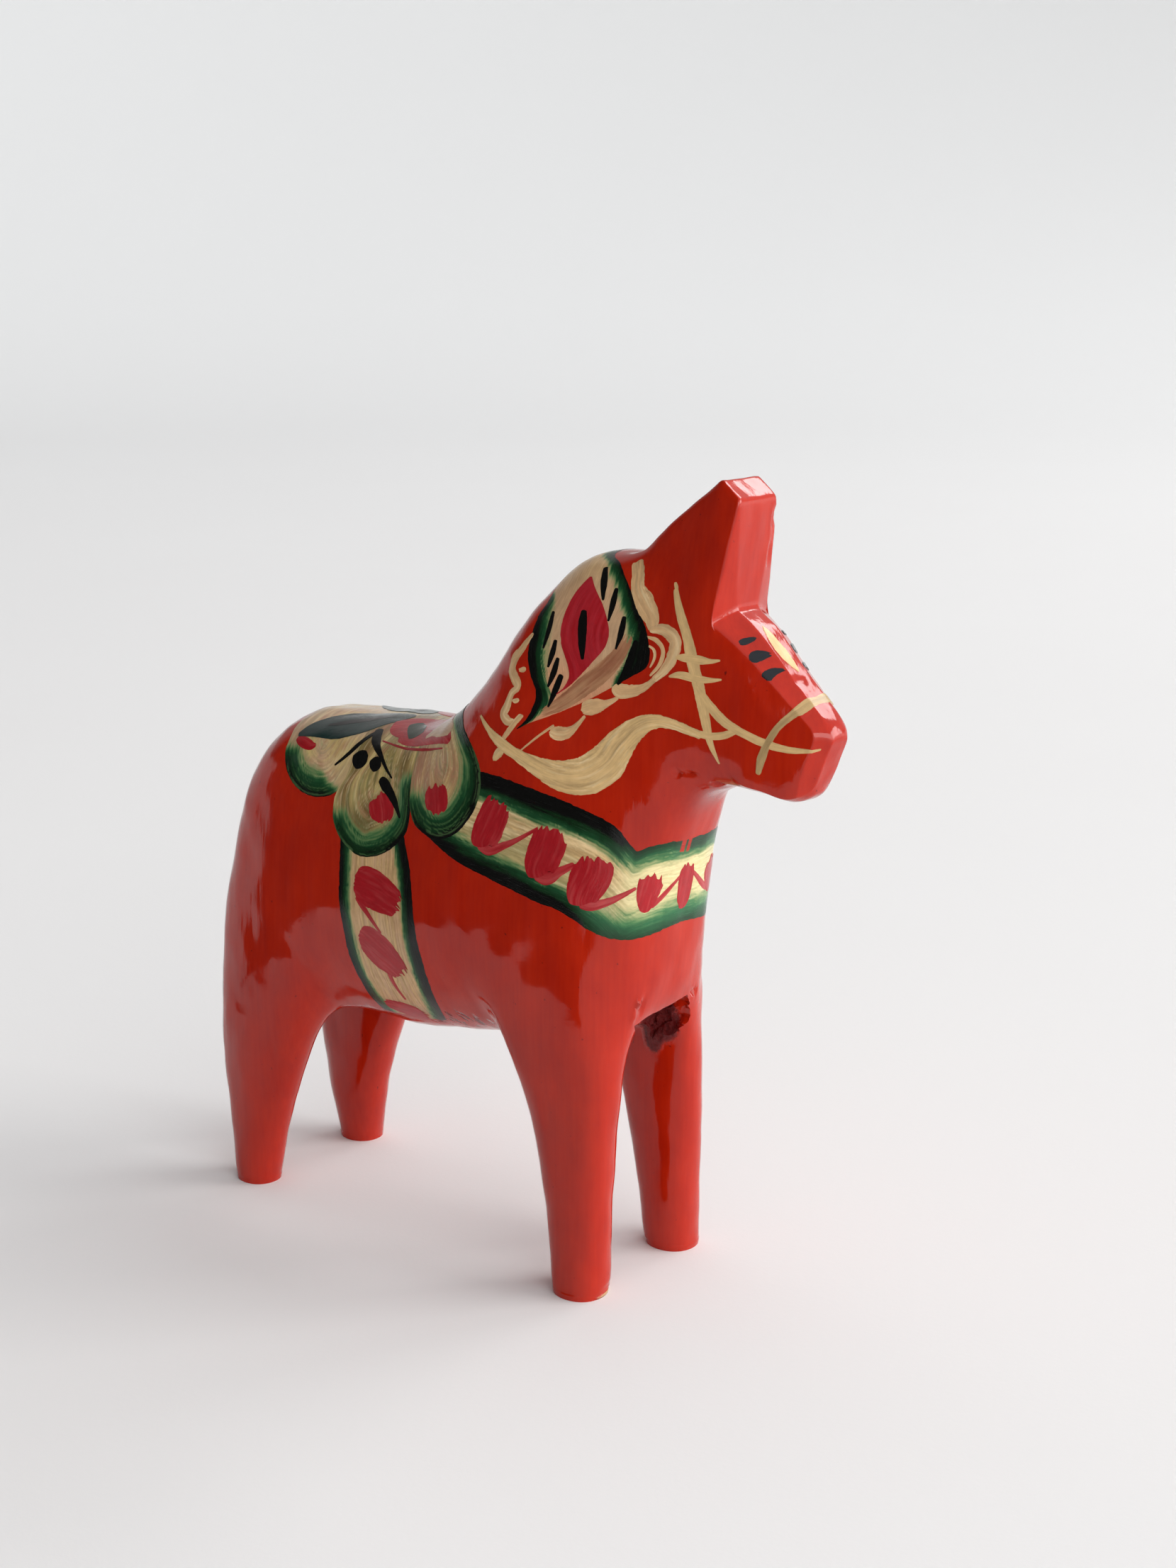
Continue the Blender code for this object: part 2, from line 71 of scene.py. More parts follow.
RUMP_SECTION = [(0, 0), (0.55, 0), (0.95, 0.15), (1, 0.45), (1, 0.75), (0.7, 1), (0.4, 1), (0, 1)]
TORSO_SECTION = [(0, 0), (0.5, 0.01), (0.84, 0.13), (0.97, 0.42), (1, 0.7), (0.68, 0.94), (0.36, 1), (0, 1)]
NECK_SECTION = [(0, 0), (0.42, 0.01), (0.73, 0.1), (0.93, 0.36), (1.02, 0.68), (0.86, 0.9), (0.5, 1), (0, 1)]
POLL_SECTION = [(0, 0), (0.46, 0), (0.8, 0.24), (0.93, 0.46), (1, 0.7), (0.85, 0.94), (0.5, 1), (0, 1)]

# Rump to poll: (x, z) of the top, (x, z) of the bottom, half width, section.
SECTIONS = [
    ((-40.8, 68.9), (-47.6, 42.6), 8.7, RUMP_SECTION),
    ((-37.5, 77.6), (-46.4, 38.4), 14.3, TORSO_SECTION),
    ((-31, 85.5), (-33.5, 38), 16.2, TORSO_SECTION),
    ((-21, 85.4), (-18, 34.5), 17.5, TORSO_SECTION),
    ((-10.7, 86.2), (-3.3, 34), 18, TORSO_SECTION),
    ((-2.3, 86), (10, 35.6), 18.4, TORSO_SECTION),
    ((5, 87.8), (22.3, 38.4), 18.8, TORSO_SECTION),
    ((13.6, 96.5), (34, 40.2), 18, TORSO_SECTION),
    ((20.5, 107.2), (45.2, 43), 16.5, TORSO_SECTION),
    ((26.3, 113.4), (46.4, 58.2), 14, NECK_SECTION),
    ((32.3, 117.8), (48.5, 71), 11.8, NECK_SECTION),
    ((41, 118), (52, 82.2), 9.8, NECK_SECTION),
    ((48.6, 124.4), (57.2, 83.6), 8.8, POLL_SECTION),
]

EAR_TOP_BACK = [(57, 0, 130.2), (57, 4.8, 130.2), (55, 7.9, 111)]
EAR_TOP_FRONT = [(60.4, 0, 127.3), (60.4, 5, 127.3)]
EAR_ROOT = [(58.6, 0, 111), (58.6, 2.7, 111)]
GROOVE_END = (57.2, 7.3, 109.4)
JAW = [(60.2, 7.4, 102), (60.5, 8, 93.6), (60.8, 7, 85.8), (60.8, 4, 84.6), (60.8, 0, 84.6)]
JAW_BACK = [(x - 3, y * 1.03, z) for x, y, z in JAW]
HEAD = [
    EAR_TOP_BACK + JAW_BACK,
    EAR_TOP_FRONT + [GROOVE_END] + JAW,
    EAR_ROOT + [GROOVE_END] + JAW,
    [(63.3, 0, 107.8), (63.3, 2.4, 107.8), (62.6, 5.9, 105.8), (64.8, 6.8, 99.3),
     (65.2, 7, 92.2), (65.2, 6.2, 85.5), (65.2, 3.5, 84.1), (65.2, 0, 84.1)],
    [(71.6, 0, 98.8), (71.6, 2, 98.8), (71, 4.5, 97.3), (70.4, 5.4, 93.4),
     (69.5, 5.6, 88.5), (69, 5, 84.2), (69, 2.6, 82.9), (69, 0, 82.9)],
    [(75, 0, 95.6), (75, 2, 95.6), (74.3, 3.9, 94.6), (73.1, 4.5, 91.8),
     (71.8, 4.5, 88.4), (70.8, 4, 84.8), (71.2, 1.9, 84), (71.2, 0, 84)],
    [(75.6, 0, 93.8), (75.6, 1.7, 93.8), (75.3, 2, 93), (74.5, 2.1, 91),
     (73.5, 2.1, 88.2), (72.4, 1.9, 85.6), (72.3, 1.3, 85), (72.3, 0, 85)],
]
EAR_RIDGE_RING = 11
EAR_BACK_RING = 13
EAR_FRONT_RING = 14
EAR_ROOT_RING = 15
NOSE_RING = 18
TIP_RING = 19

# How far rounding leaves an edge alone: 0 rounds it off, 1 keeps it sharp.
SOFT_EDGE = 0.55
CLEAR_EDGE = 0.72
KEEN_EDGE = 0.88
SOLE_EDGE = 1

HIND_RINGS = (1, 2, 3)
FRONT_RINGS = (6, 7, 8)
HIND_LEG = [
    (31, -46.2, -22, 7, 17, 0.8),
    (16, -44.6, -28.6, 7.6, 16.6, 0.77),
    (1.5, -41.4, -32.2, 8.8, 17.3, 0.75),
    (0, -41, -32.5, 9.1, 17.1, 0.75),
]
FRONT_LEG = [
    (35, 25.2, 43.6, 6.4, 16.7, 0.8),
    (17, 29.8, 42.5, 6.5, 15.8, 0.77),
    (1.5, 32, 42.1, 7.3, 17, 0.75),
    (0, 32.3, 41.8, 7.6, 16.8, 0.75),
]
SUBDIVISION = 4

# How far apart a film's points are, how many parts a span of a curve is cut into, and the fewest points.
FILM_STEP = 0.26
SPAN_STEPS = 16
FEWEST_STOPS = 5


def between(a, b, share):
    """The number this share of the way from a to b."""
    return a + (b - a) * share


def section_ring(top, bottom, half_width, section):
    """The eight points of one section of the body."""
    return [
        (between(top[0], bottom[0], down), out * half_width, between(top[1], bottom[1], down))
        for out, down in section
    ]


def leg_level(z, back, front, inside, outside, square):
    """Eight points round a leg at one height, from its outer back corner towards the front."""
    middle_x = (back + front) / 2
    middle_y = (inside + outside) / 2
    reach_x = (front - back) / 2 * square
    reach_y = (outside - inside) / 2 * square
    return [
        (middle_x - reach_x, middle_y + reach_y, z),
        (middle_x, outside, z),
        (middle_x + reach_x, middle_y + reach_y, z),
        (front, middle_y, z),
        (middle_x + reach_x, middle_y - reach_y, z),
        (middle_x, inside, z),
        (middle_x - reach_x, middle_y - reach_y, z),
        (back, middle_y, z),
    ]


class Cage:
    """The coarse mesh that subdivision rounds into the carved body."""

    def __init__(self):
        self.mesh = bmesh.new()
        self.crease = self.mesh.edges.layers.float.new("crease_edge")
        self.found = {}

    def vertex(self, point):
        """The vertex at a point, made once and then shared."""
        key = tuple(round(number, 3) for number in point)
        if key not in self.found:
            self.found[key] = self.mesh.verts.new(key)
        return self.found[key]

    def face(self, corners):
        """A face over the corners that differ."""
        corners = list(dict.fromkeys(corners))
        if len(corners) > 2:
            self.mesh.faces.new(corners)

    def sharpen(self, path, amount):
        """Crease the edges along a path of vertices."""
        for a, b in zip(path, path[1:]):
            edge = self.mesh.edges.get((a, b)) if a is not b else None
            if edge:
                edge[self.crease] = amount

    def skin(self, ring, other, skipped):
        """Faces between two neighbouring rings, leaving out the strips where a leg grows."""
        for i in range(len(ring) - 1):
            if i not in skipped:
                self.face([ring[i], ring[i + 1], other[i + 1], other[i]])

    def close(self, ring):
        """A flat end from a ring to the middle plane."""
        middle = [self.vertex((vertex.co.x, 0, vertex.co.z)) for vertex in ring]
        for i in range(len(ring) - 1):
            self.face([ring[i], ring[i + 1], middle[i + 1], middle[i]])

    def leg(self, rings, levels):
        """A leg from the gap left in the skin down to a flat sole."""
        back, middle, front = rings
        loop = [back[4], middle[4], front[4], front[5], front[6], middle[6], back[6], back[5]]
        for level in levels:
            lower = [self.vertex(point) for point in leg_level(*level)]
            for i in range(8):
                after = (i + 1) % 8
                self.face([loop[i], loop[after], lower[after], lower[i]])
            loop = lower
        z, back_x, front_x, inside, outside, _ = levels[-1]
        centre = self.vertex(((back_x + front_x) / 2, (inside + outside) / 2, z))
        for i in range(0, 8, 2):
            self.face([loop[i], loop[i + 1], centre, loop[i - 1]])
        self.sharpen(loop + loop[:1], SOLE_EDGE)


def crease_head(cage, rings):
    """Keep the knife's edges on the ears, brow, jaw and nose."""
    for ring in range(EAR_RIDGE_RING, EAR_BACK_RING):
        cage.sharpen([rings[ring][1], rings[ring + 1][1]], SOFT_EDGE)
    cage.sharpen(rings[EAR_BACK_RING][0:2], KEEN_EDGE)
    cage.sharpen(rings[EAR_FRONT_RING][0:2], KEEN_EDGE)
    cage.sharpen([rings[EAR_BACK_RING][1], rings[EAR_FRONT_RING][1]], KEEN_EDGE)
    cage.sharpen(rings[EAR_FRONT_RING][1:3], CLEAR_EDGE)
    cage.sharpen([rings[EAR_FRONT_RING][1], rings[EAR_ROOT_RING][1]], CLEAR_EDGE)
    cage.sharpen(rings[EAR_ROOT_RING][0:3], KEEN_EDGE)
    for ring in range(EAR_ROOT_RING, NOSE_RING):
        cage.sharpen([rings[ring][1], rings[ring + 1][1]], CLEAR_EDGE)
        cage.sharpen([rings[ring][2], rings[ring + 1][2]], CLEAR_EDGE)
    for ring in range(EAR_ROOT_RING, TIP_RING):
        cage.sharpen([rings[ring][5], rings[ring + 1][5]], SOFT_EDGE)
    cage.sharpen(rings[EAR_RIDGE_RING][0:2], SOFT_EDGE)
    cage.sharpen(rings[NOSE_RING][2:6], CLEAR_EDGE)
    cage.sharpen(rings[TIP_RING][1:6], SOFT_EDGE)


def body_cage():
    """The left half of the carved block as a coarse cage of four-sided faces."""
    cage = Cage()
    outlines = [section_ring(*section) for section in SECTIONS] + HEAD
    rings = [[cage.vertex(point) for point in outline] for outline in outlines]
    under_hind = range(HIND_RINGS[0], HIND_RINGS[-1])
    under_front = range(FRONT_RINGS[0], FRONT_RINGS[-1])
    for i in range(len(rings) - 1):
        over_leg = i in under_hind or i in under_front
        cage.skin(rings[i], rings[i + 1], (4, 5) if over_leg else ())
    cage.close(rings[0])
    cage.close(rings[-1])
    cage.leg([rings[i] for i in HIND_RINGS], HIND_LEG)
    cage.leg([rings[i] for i in FRONT_RINGS], FRONT_LEG)
    crease_head(cage, rings)
    bmesh.ops.recalc_face_normals(cage.mesh, faces=cage.mesh.faces)
    return cage.mesh


def apply_modifiers(made):
    """Gives an object the mesh that its modifiers make, and takes them off it."""
    bpy.context.view_layer.update()
    fine = bpy.data.meshes.new_from_object(made.evaluated_get(bpy.context.evaluated_depsgraph_get()))
    made.modifiers.clear()
    made.data = fine
    return fine


def vertices_of(mesh):
    """The vertex positions of a mesh as rows of numbers."""
    places = np.zeros(len(mesh.vertices) * 3)
    mesh.vertices.foreach_get("co", places)
    return places.reshape(-1, 3)


def normals_of(mesh):
    """The vertex normals of a mesh as rows of numbers."""
    normals = np.zeros(len(mesh.vertices) * 3)
    mesh.vertex_normals.foreach_get("vector", normals)
    return normals.reshape(-1, 3)


def soft(share):
    """A smooth step from 0 to 1."""
    share = np.clip(share, 0, 1)
    return share * share * (3 - 2 * share)


def smooth_path(rows, step=FILM_STEP):
    """Rows evenly spaced on a smooth curve through the given rows, whose first three numbers are places."""
    rows = np.array(rows, float)
    padded = np.vstack([2 * rows[0] - rows[1], rows, 2 * rows[-1] - rows[-2]])
    t = np.linspace(0, 1, SPAN_STEPS, endpoint=False)[:, None]
    spans = []
    for a, b, c, d in zip(padded, padded[1:], padded[2:], padded[3:]):
        bend = (2 * a - 5 * b + 4 * c - d) * t ** 2 + (3 * b - a - 3 * c + d) * t ** 3
        spans.append(b + ((c - a) * t + bend) / 2)
    fine = np.vstack(spans + [rows[-1:]])
    reach = lengths_along(fine)
    stops = np.linspace(0, reach[-1], max(FEWEST_STOPS, round(reach[-1] / step) + 1))
    return resample(fine, reach, stops)


def lengths_along(line):
    """How far along a line each of its points is."""
    return np.r_[0, np.cumsum(np.linalg.norm(np.diff(line[:, :3], axis=0), axis=1))]


def resample(line, reach, stops):
    """The rows of a line at the given distances along it."""
    return np.stack([np.interp(stops, reach, line[:, k]) for k in range(line.shape[1])], -1)


LOW, HIGH = (np.array(corner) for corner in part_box("carved_body"))

# Hand work. Waves: how high, and how far apart each way. They stop at the soles.
WAVES = [(0.34, (12, 12, 17)), (0.17, (4.6, 4.6, 6)), (0.055, (2.3, 2.3, 2.9))]
SOLE_TOP = 1
# Dents: middle, reach each way, and push.
DENT_STEEPNESS = 1.4
DENTS = [
    ((54.6, -8.4, 86.4), (2.6, 1.6, 0.8), (0, 1, 0.3)),
    ((52.2, -8.8, 86.4), (1, 1.6, 1), (0, 0.7, 0)),
    ((57.6, -5.6, 84.8), (1.4, 1.6, 0.8), (0, 0.4, 0.7)),
    ((55.6, -7.6, 84.4), (0.6, 1.4, 1.6), (0, 0.5, 0)),
    ((53.6, 7.6, 86), (2, 1.5, 0.8), (0, -0.5, 0.2)),
    ((44.4, -7.6, 48.6), (1.3, 1.1, 0.9), (0.75, -0.1, 0.2)),
    ((44.3, -6.4, 48), (1.3, 0.8, 1.6), (-0.5, 0, 0)),
    ((44.3, -8.2, 46.6), (1, 0.8, 1.4), (0.35, 0, 0)),
    ((44.6, 7.4, 46.6), (1.4, 1.8, 0.6), (-0.9, 0, 0.3)),
    ((40, -10.5, 1.4), (4, 3, 1), (-0.25, 0.25, 0)),
    ((-29, -17, 26), (1.3, 2, 3.4), (0, 0.16, 0)),
    ((33, -17, 30), (1.6, 2, 5), (0, 0.18, 0)),
    ((-36, 16, 40), (3, 2, 5), (0, -0.2, 0)),
    ((59.8, 4.9, 124), (1.2, 1, 2.2), (-0.2, -0.35, 0)),
    ((59.4, 4.9, 118.4), (1.2, 1, 2.6), (-0.2, -0.3, 0)),
    ((68.6, -1, 101.4), (2.2, 2.4, 1), (-0.12, 0, -0.12)),
    ((30, 16, 50), (5, 2, 3), (0, -0.18, 0)),
]
# Creases: the line, how wide, and how deep. Only places this near to a line's middle are tried.
CREASE_STEP = 0.4
CREASE_SPAN = 20
CREASES = [
    ([(-24, -16.4, 47), (-21, -16, 43.4), (-17, -15.4, 40.6), (-12.5, -14.4, 38.4)], 0.9, 0.3),
    ([(-23, 16.4, 47), (-19, 16, 42.6), (-14, 14.8, 39)], 0.9, 0.2),
    ([(23.5, -16.5, 42), (26, -16, 36), (28, -15.6, 30)], 0.8, 0.14),
]
NOTCH_MIDDLE = (44, -0.95, 40.4)
NOTCH_SIZE = (15, 13.1, 11)
NOTCH_SLOPE = 0.15
NOTCH_LEAN = 2
NOTCH_CUTS = 26
NOTCH_SEED = 5
# How rough its walls are: how far a place moves, and how often to the millimetre.
NOTCH_ROUGHNESS = [(0.7, 0.7), (0.4, 1.9)]
CALM_SHARE = 0.15
CALM_DEPTH = 2
# Where the wood is broken, painted dark as shade in the notch and dents: middle, and reach each way.
TORN_AND_SHADED_STEEPNESS = 1.8
TORN_AND_SHADED_SPOTS = [
    ((38.4, 6.4, 40.4), (4.6, 4.6, 4.4)),
    ((37, 6.4, 38), (2.4, 3, 4.2)),
    ((39.6, 5, 42.6), (3, 4, 3)),
    ((54.6, -8.4, 86), (2, 1.4, 0.6)),
    ((57.4, -6, 84.7), (1.6, 1.4, 0.6)),
    ((40, -10.5, 0.3), (3.4, 4, 0.5)),
]
SHARP_ANGLE = math.radians(38)


def within(places, middle, reach, steepness):
    """1 in the middle of a rounded spot that reaches so far each way, falling to 0 at its rim."""
    return soft(steepness * (1 - np.linalg.norm((places - middle) / reach, axis=1)))


def worked_by_hand(mesh):
    """The places of the block's points once the knife has left its waves, dents and creases."""
    places, normals = vertices_of(mesh), normals_of(mesh)
    rise = np.zeros(len(places))
    for height, spacing in WAVES:
        rise += height * np.array([noise.noise(Vector(place)) for place in places / spacing])
    rise[places[:, 2] < SOLE_TOP] = 0
    moved = places + normals * rise[:, None]
    for middle, reach, push in DENTS:
        near = within(places, middle, reach, DENT_STEEPNESS)
        moved += near[:, None] * np.array(push)
    for line, width, depth in CREASES:
        line = smooth_path(line, CREASE_STEP)[:, :3]
        away = np.full(len(places), width)
        close = np.linalg.norm(places - line.mean(0), axis=1) < CREASE_SPAN
        away[close] = np.linalg.norm(places[close][:, None] - line[None], axis=2).min(1)
        moved -= normals * (depth * soft(1 - away / width))[:, None]
    return moved


def tear_notch(block):
    """Takes a rough notch out from between the front legs, under a ledge."""
    noise.seed_set(NOTCH_SEED)
    cutter = bmesh.new()
    bmesh.ops.create_cube(cutter, size=1)
    bmesh.ops.subdivide_edges(cutter, edges=cutter.edges[:], cuts=NOTCH_CUTS, use_grid_fill=True)
    for vertex in cutter.verts:
        vertex.co = vertex.co * Vector(NOTCH_SIZE) + Vector(NOTCH_MIDDLE)
        depth = NOTCH_MIDDLE[2] + NOTCH_SIZE[2] / 2 - vertex.co.z
        vertex.co.y += NOTCH_LEAN * math.sin(math.pi * depth / NOTCH_SIZE[2])
        vertex.co.z += NOTCH_SLOPE * vertex.co.y
        rough = CALM_SHARE + (1 - CALM_SHARE) * min(depth / CALM_DEPTH, 1)
        pushes = [far * noise.noise_vector(vertex.co * often) for far, often in NOTCH_ROUGHNESS]
        vertex.co += rough * sum(pushes, Vector())
    tool = placed("notch", mesh_of("notch", cutter))
    cut = block.modifiers.new("Notch", "BOOLEAN")
    cut.object = tool
    cut.operation = "DIFFERENCE"
    cut.solver = "MANIFOLD"
    fine = apply_modifiers(block)
    bpy.data.objects.remove(tool)
    fine.materials.clear()
    return fine


def carve_body():
    """The fine carved block, fitted to the CAD body's box. Also how far X moves from here into the frame."""
    block = placed("horse_body", mesh_of("cage", body_cage()))
    mirror = block.modifiers.new("Mirror", "MIRROR")
    mirror.use_axis = (False, True, False)
    rounding = block.modifiers.new("Subdivision", "SUBSURF")
    rounding.levels = SUBDIVISION
    fine = apply_modifiers(block)
    fine.vertices.foreach_set("co", worked_by_hand(fine).ravel())
    fine.update()
    fine = tear_notch(block)
    places = vertices_of(fine)
    low, high = places.min(0), places.max(0)
    move = (LOW[0] + HIGH[0]) / 2 / MM - (low[0] + high[0]) / 2
    torn_and_shaded = np.zeros(len(places))
    for middle, reach in TORN_AND_SHADED_SPOTS:
        torn_and_shaded = np.maximum(torn_and_shaded, within(places, middle, reach, TORN_AND_SHADED_STEEPNESS))
    places = (places - low) / (high - low) * (HIGH - LOW) / MM + LOW / MM
    places[:, 0] -= move
    fine.vertices.foreach_set("co", places.ravel())
    fine.attributes.new("torn_and_shaded", "FLOAT", "POINT").data.foreach_set("value", torn_and_shaded.astype(np.float32))
    fine.update()
    return block, move


BODY, MOVE_X = carve_body()


def into_frame(mesh):
    """Moves a mesh from working millimetres into the frame."""
    places = vertices_of(mesh)
    places[:, 0] += MOVE_X
    mesh.vertices.foreach_set("co", (places * MM).ravel())
    mesh.update()


# ---------------------------------------------------------------- finishes

RED = (0.36, 0.012, 0.0022)
CREAM = (0.64, 0.425, 0.19)
PALE_CREAM = (0.78, 0.60, 0.34)
DULL_CREAM = (0.40, 0.26, 0.115)
TAN = (0.52, 0.33, 0.20)
PEACH = (0.66, 0.29, 0.15)
BROWN = (0.36, 0.17, 0.08)
ROSY_TAN = (0.38, 0.175, 0.10)
DUSKY_TAN = (0.17, 0.095, 0.035)
PETAL_CREAM = (0.56, 0.42, 0.16)
CRIMSON = (0.33, 0.007, 0.012)
BLACK = (0.0035, 0.0035, 0.003)
DARK_GREEN = (0.004, 0.022, 0.006)
GREEN = (0.010, 0.078, 0.026)
BRIGHT_GREEN = (0.024, 0.155, 0.058)
LIGHT_GREEN = (0.12, 0.24, 0.085)
LEAF = (0.007, 0.028, 0.024)
CHEST_CREAM = (0.60, 0.60, 0.30)
SCROLL_CREAM = (0.60, 0.37, 0.18)
PALE_CRIMSON = (0.46, 0.06, 0.06)
ROSE = (0.48, 0.035, 0.05)
ARC_BROWN = (0.30, 0.12, 0.06)
ARC_PEACH = (0.48, 0.26, 0.13)
ARC_LINE = (0.22, 0.05, 0.03)
EYE_BLACK = (0.008, 0.009, 0.012)

# The enamel's own colours, with alpha.
THICK_COAT = (0.315, 0.0085, 0.0016, 1)
THIN_COAT = (0.43, 0.017, 0.003, 1)
SPECK = (0.10, 0.004, 0.003, 1)
# Broken wood, darkened as painted shade in the notch and the dents.
TORN_WOOD_IN_PAINTED_SHADE = (0.13, 0.003, 0.0025, 1)
BARE_WOOD = (0.55, 0.30, 0.14, 1)
NICK = (0.16, 0.006, 0.005, 1)
CHIP_TOP = 0.003
CHIP_FOOT = 0.0015


class Wiring:
    """A material, or the world, whose shader nodes are being joined up."""

    def __init__(self, owner, shader="Principled BSDF"):
        owner.use_nodes = True
        self.owner = owner
        self.nodes = owner.node_tree.nodes
        self.links = owner.node_tree.links
        self.shader = self.nodes[shader]

    def add(self, kind, inputs, output=0, **settings):
        """A new node with its inputs set or joined. Gives back one of its outputs."""
        made = self.nodes.new("ShaderNode" + kind)
        for key, value in settings.items():
            setattr(made, key, value)
        for key, value in inputs.items():
            self.feed(made, key, value)
        return made.outputs[output]

    def feed(self, target, key, value):
        """Sets or joins one input of a node."""
        if isinstance(value, bpy.types.NodeSocket):
            self.links.new(value, target.inputs[key])
        else:
            target.inputs[key].default_value = value

    def noise(self, place, stretch, detail=3, roughness=0.55):
        """Noise over a place, stretched by so many knots to the unit each way."""
        scaled = self.add("VectorMath", {0: place, 1: stretch}, operation="MULTIPLY")
        return self.add("TexNoise", {"Vector": scaled, "Scale": 1, "Detail": detail, "Roughness": roughness})

    def spread(self, value, low, high, to_low=0, to_high=1, **settings):
        """A value from low to high brought to another range."""
        inputs = {"Value": value, "From Min": low, "From Max": high, "To Min": to_low, "To Max": to_high}
        return self.add("MapRange", inputs, **settings)

    def blend(self, share, a, b, kind="MIX"):
        """Two colours mixed."""
        return self.add("Mix", {0: share, 6: a, 7: b}, 2, data_type="RGBA", blend_type=kind)

    def sum(self, a, b, scale=1):
        """a times scale, plus b."""
        return self.add("Math", {0: a, 1: scale, 2: b}, operation="MULTIPLY_ADD")

    def finish(self, colour, roughness, heights, ior):
        """Feeds the shader. Heights are (height, distance in metres), from the broadest to the finest."""
        self.feed(self.shader, "Base Color", colour)
        self.feed(self.shader, "Roughness", roughness)
        self.shader.inputs["IOR"].default_value = ior
        normal = None
        for height, distance in heights:
            inputs = {"Height": height, "Distance": distance, "Strength": 1}
            if normal:
                inputs["Normal"] = normal
            normal = self.add("Bump", inputs)
        self.feed(self.shader, "Normal", normal)
        return self.owner


def new_wiring(name):
    """The wiring of a new material."""
    return Wiring(bpy.data.materials.new(name))


VARNISH_IOR = 1.42


def enamel():
    """Glossy red enamel, brushed on over wood whose grain just shows, with specks, nicks and broken spots
    darkened as painted shade.
    """
    wiring = new_wiring("red_enamel")
    place = wiring.add("TexCoord", {}, 3)
    torn_and_shaded = wiring.add("Attribute", {}, 2, attribute_name="torn_and_shaded")
    cloud = wiring.noise(place, (130, 130, 90), 4)
    grain = wiring.noise(place, (1500, 1500, 60), 4, 0.6)
    brushed = wiring.noise(place, (520, 520, 34), 3)
    specks = wiring.noise(place, (1300, 1300, 1000), 2)
    rubble = wiring.noise(place, (1300, 1300, 1300), 4, 0.7)
    tone = wiring.sum(wiring.spread(cloud, 0.3, 0.7), wiring.spread(grain, 0.3, 0.7, 0, 0.4), 0.6)
    colour = wiring.blend(tone, THICK_COAT, THIN_COAT)
    colour = wiring.blend(wiring.spread(specks, 0.735, 0.765, 0, 0.8), colour, SPECK)
    # Broken spots are rougher and darker: the dark is painted shade of the notch and dents, with bare wood at
    # the soles.
    hurt_and_shaded = wiring.spread(wiring.sum(torn_and_shaded, rubble, 1.6), 0.9, 1.5)
    sole = wiring.spread(wiring.add("SeparateXYZ", {0: place}, 2), CHIP_TOP, CHIP_FOOT)
    colour = wiring.blend(hurt_and_shaded, colour, wiring.blend(sole, TORN_WOOD_IN_PAINTED_SHADE, BARE_WOOD))
    marks = hatching(wiring, place)
    colour = wiring.blend(marks, colour, NICK)
    roughness = wiring.sum(hurt_and_shaded, wiring.spread(brushed, 0.3, 0.7, 0.05, 0.13), 0.3)
    torn_height = wiring.add("Math", {0: torn_and_shaded, 1: rubble}, operation="MULTIPLY")
    heights = [
        (torn_height, 0.0008), (marks, -0.00018), (brushed, 0.00004), (grain, 0.000008), (specks, 0.00001),
    ]
    return wiring.finish(colour, roughness, heights, VARNISH_IOR)


HATCH_MIDDLE = (0.0118, -0.0116, 0.0392)
HATCH_REACH = (95, 250, 300)


def hatching(wiring, place):
    """Short slanting nicks on the edge of the belly behind the front leg, 1 in the nicks and 0 elsewhere."""
    middle = (HATCH_MIDDLE[0] + MOVE_X * MM, *HATCH_MIDDLE[1:])
    offset = wiring.add("VectorMath", {0: place, 1: middle}, operation="SUBTRACT")
    scaled = wiring.add("VectorMath", {0: offset, 1: HATCH_REACH}, operation="MULTIPLY")
    away = wiring.add("VectorMath", {0: scaled}, 1, operation="LENGTH")
    slanted = wiring.add("VectorRotate", {"Vector": offset, "Angle": 0.6}, rotation_type="Y_AXIS")
    dashes = wiring.noise(slanted, (1500, 500, 420), 1)
    cut = wiring.spread(dashes, 0.565, 0.615)
    return wiring.add("Math", {0: cut, 1: wiring.spread(away, 1, 0.7)}, operation="MULTIPLY")


def artists_paint(name, smoothest, roughest):
    """Thin paint that shows its bristle marks and lets what is under it through where it is dry."""
    wiring = new_wiring(name)
    pigment = wiring.add("Attribute", {}, 0, attribute_name="pigment")
    load = wiring.add("Attribute", {}, 3, attribute_name="pigment")
    ground = wiring.add("Attribute", {}, 0, attribute_name="ground")
    bristle = wiring.add("Attribute", {}, 1, attribute_name="bristle")
    hairs = wiring.noise(bristle, (0.3, 4.5, 1), 4, 0.6)
    clots = wiring.noise(bristle, (0.7, 1.3, 1), 3)
    cover = wiring.spread(wiring.sum(hairs, load, 1.1), 0.85, 1.25)
    tone = wiring.spread(wiring.sum(clots, hairs, 0.7), 0.55, 1.15, 0.8, 1.14)
    colour = wiring.blend(1, wiring.blend(cover, ground, pigment), tone, "MULTIPLY")
    roughness = wiring.spread(hairs, 0.3, 0.7, smoothest, roughest)
    heights = [(clots, 0.00003), (hairs, 0.000025), (cover, 0.00002)]
    return wiring.finish(colour, roughness, heights, VARNISH_IOR)


# Each paint's lowest and highest roughness.
SHEENS = {
    "cream_paint": (0.12, 0.3),
    "green_paint": (0.08, 0.22),
    "crimson_paint": (0.1, 0.24),
    "black_paint": (0.08, 0.2),
}
PAINTS = {name: artists_paint(name, *sheen) for name, sheen in SHEENS.items()}


# ---------------------------------------------------------------- laying paint

# Distances are in millimetres. A film is a grid of points pressed onto the wood.
FILM_LIFT = 0.045
LAYER_LIFT = 0.022
EDGE_SINK = 0.05
KNOTS = 64
ROUND_ENDS = 0.8
FULL_CURVE = 0.97
# How far apart the broad and the fine turns of a ragged edge are, and the row of random numbers of each edge.
STROKE_TURNS = (0.6, 0.25)
STROKE_ROWS = (3.5, 9.5)
PANEL_TURNS = (0.7, 0.3)
PANEL_ROWS = (2.5, 5.5)


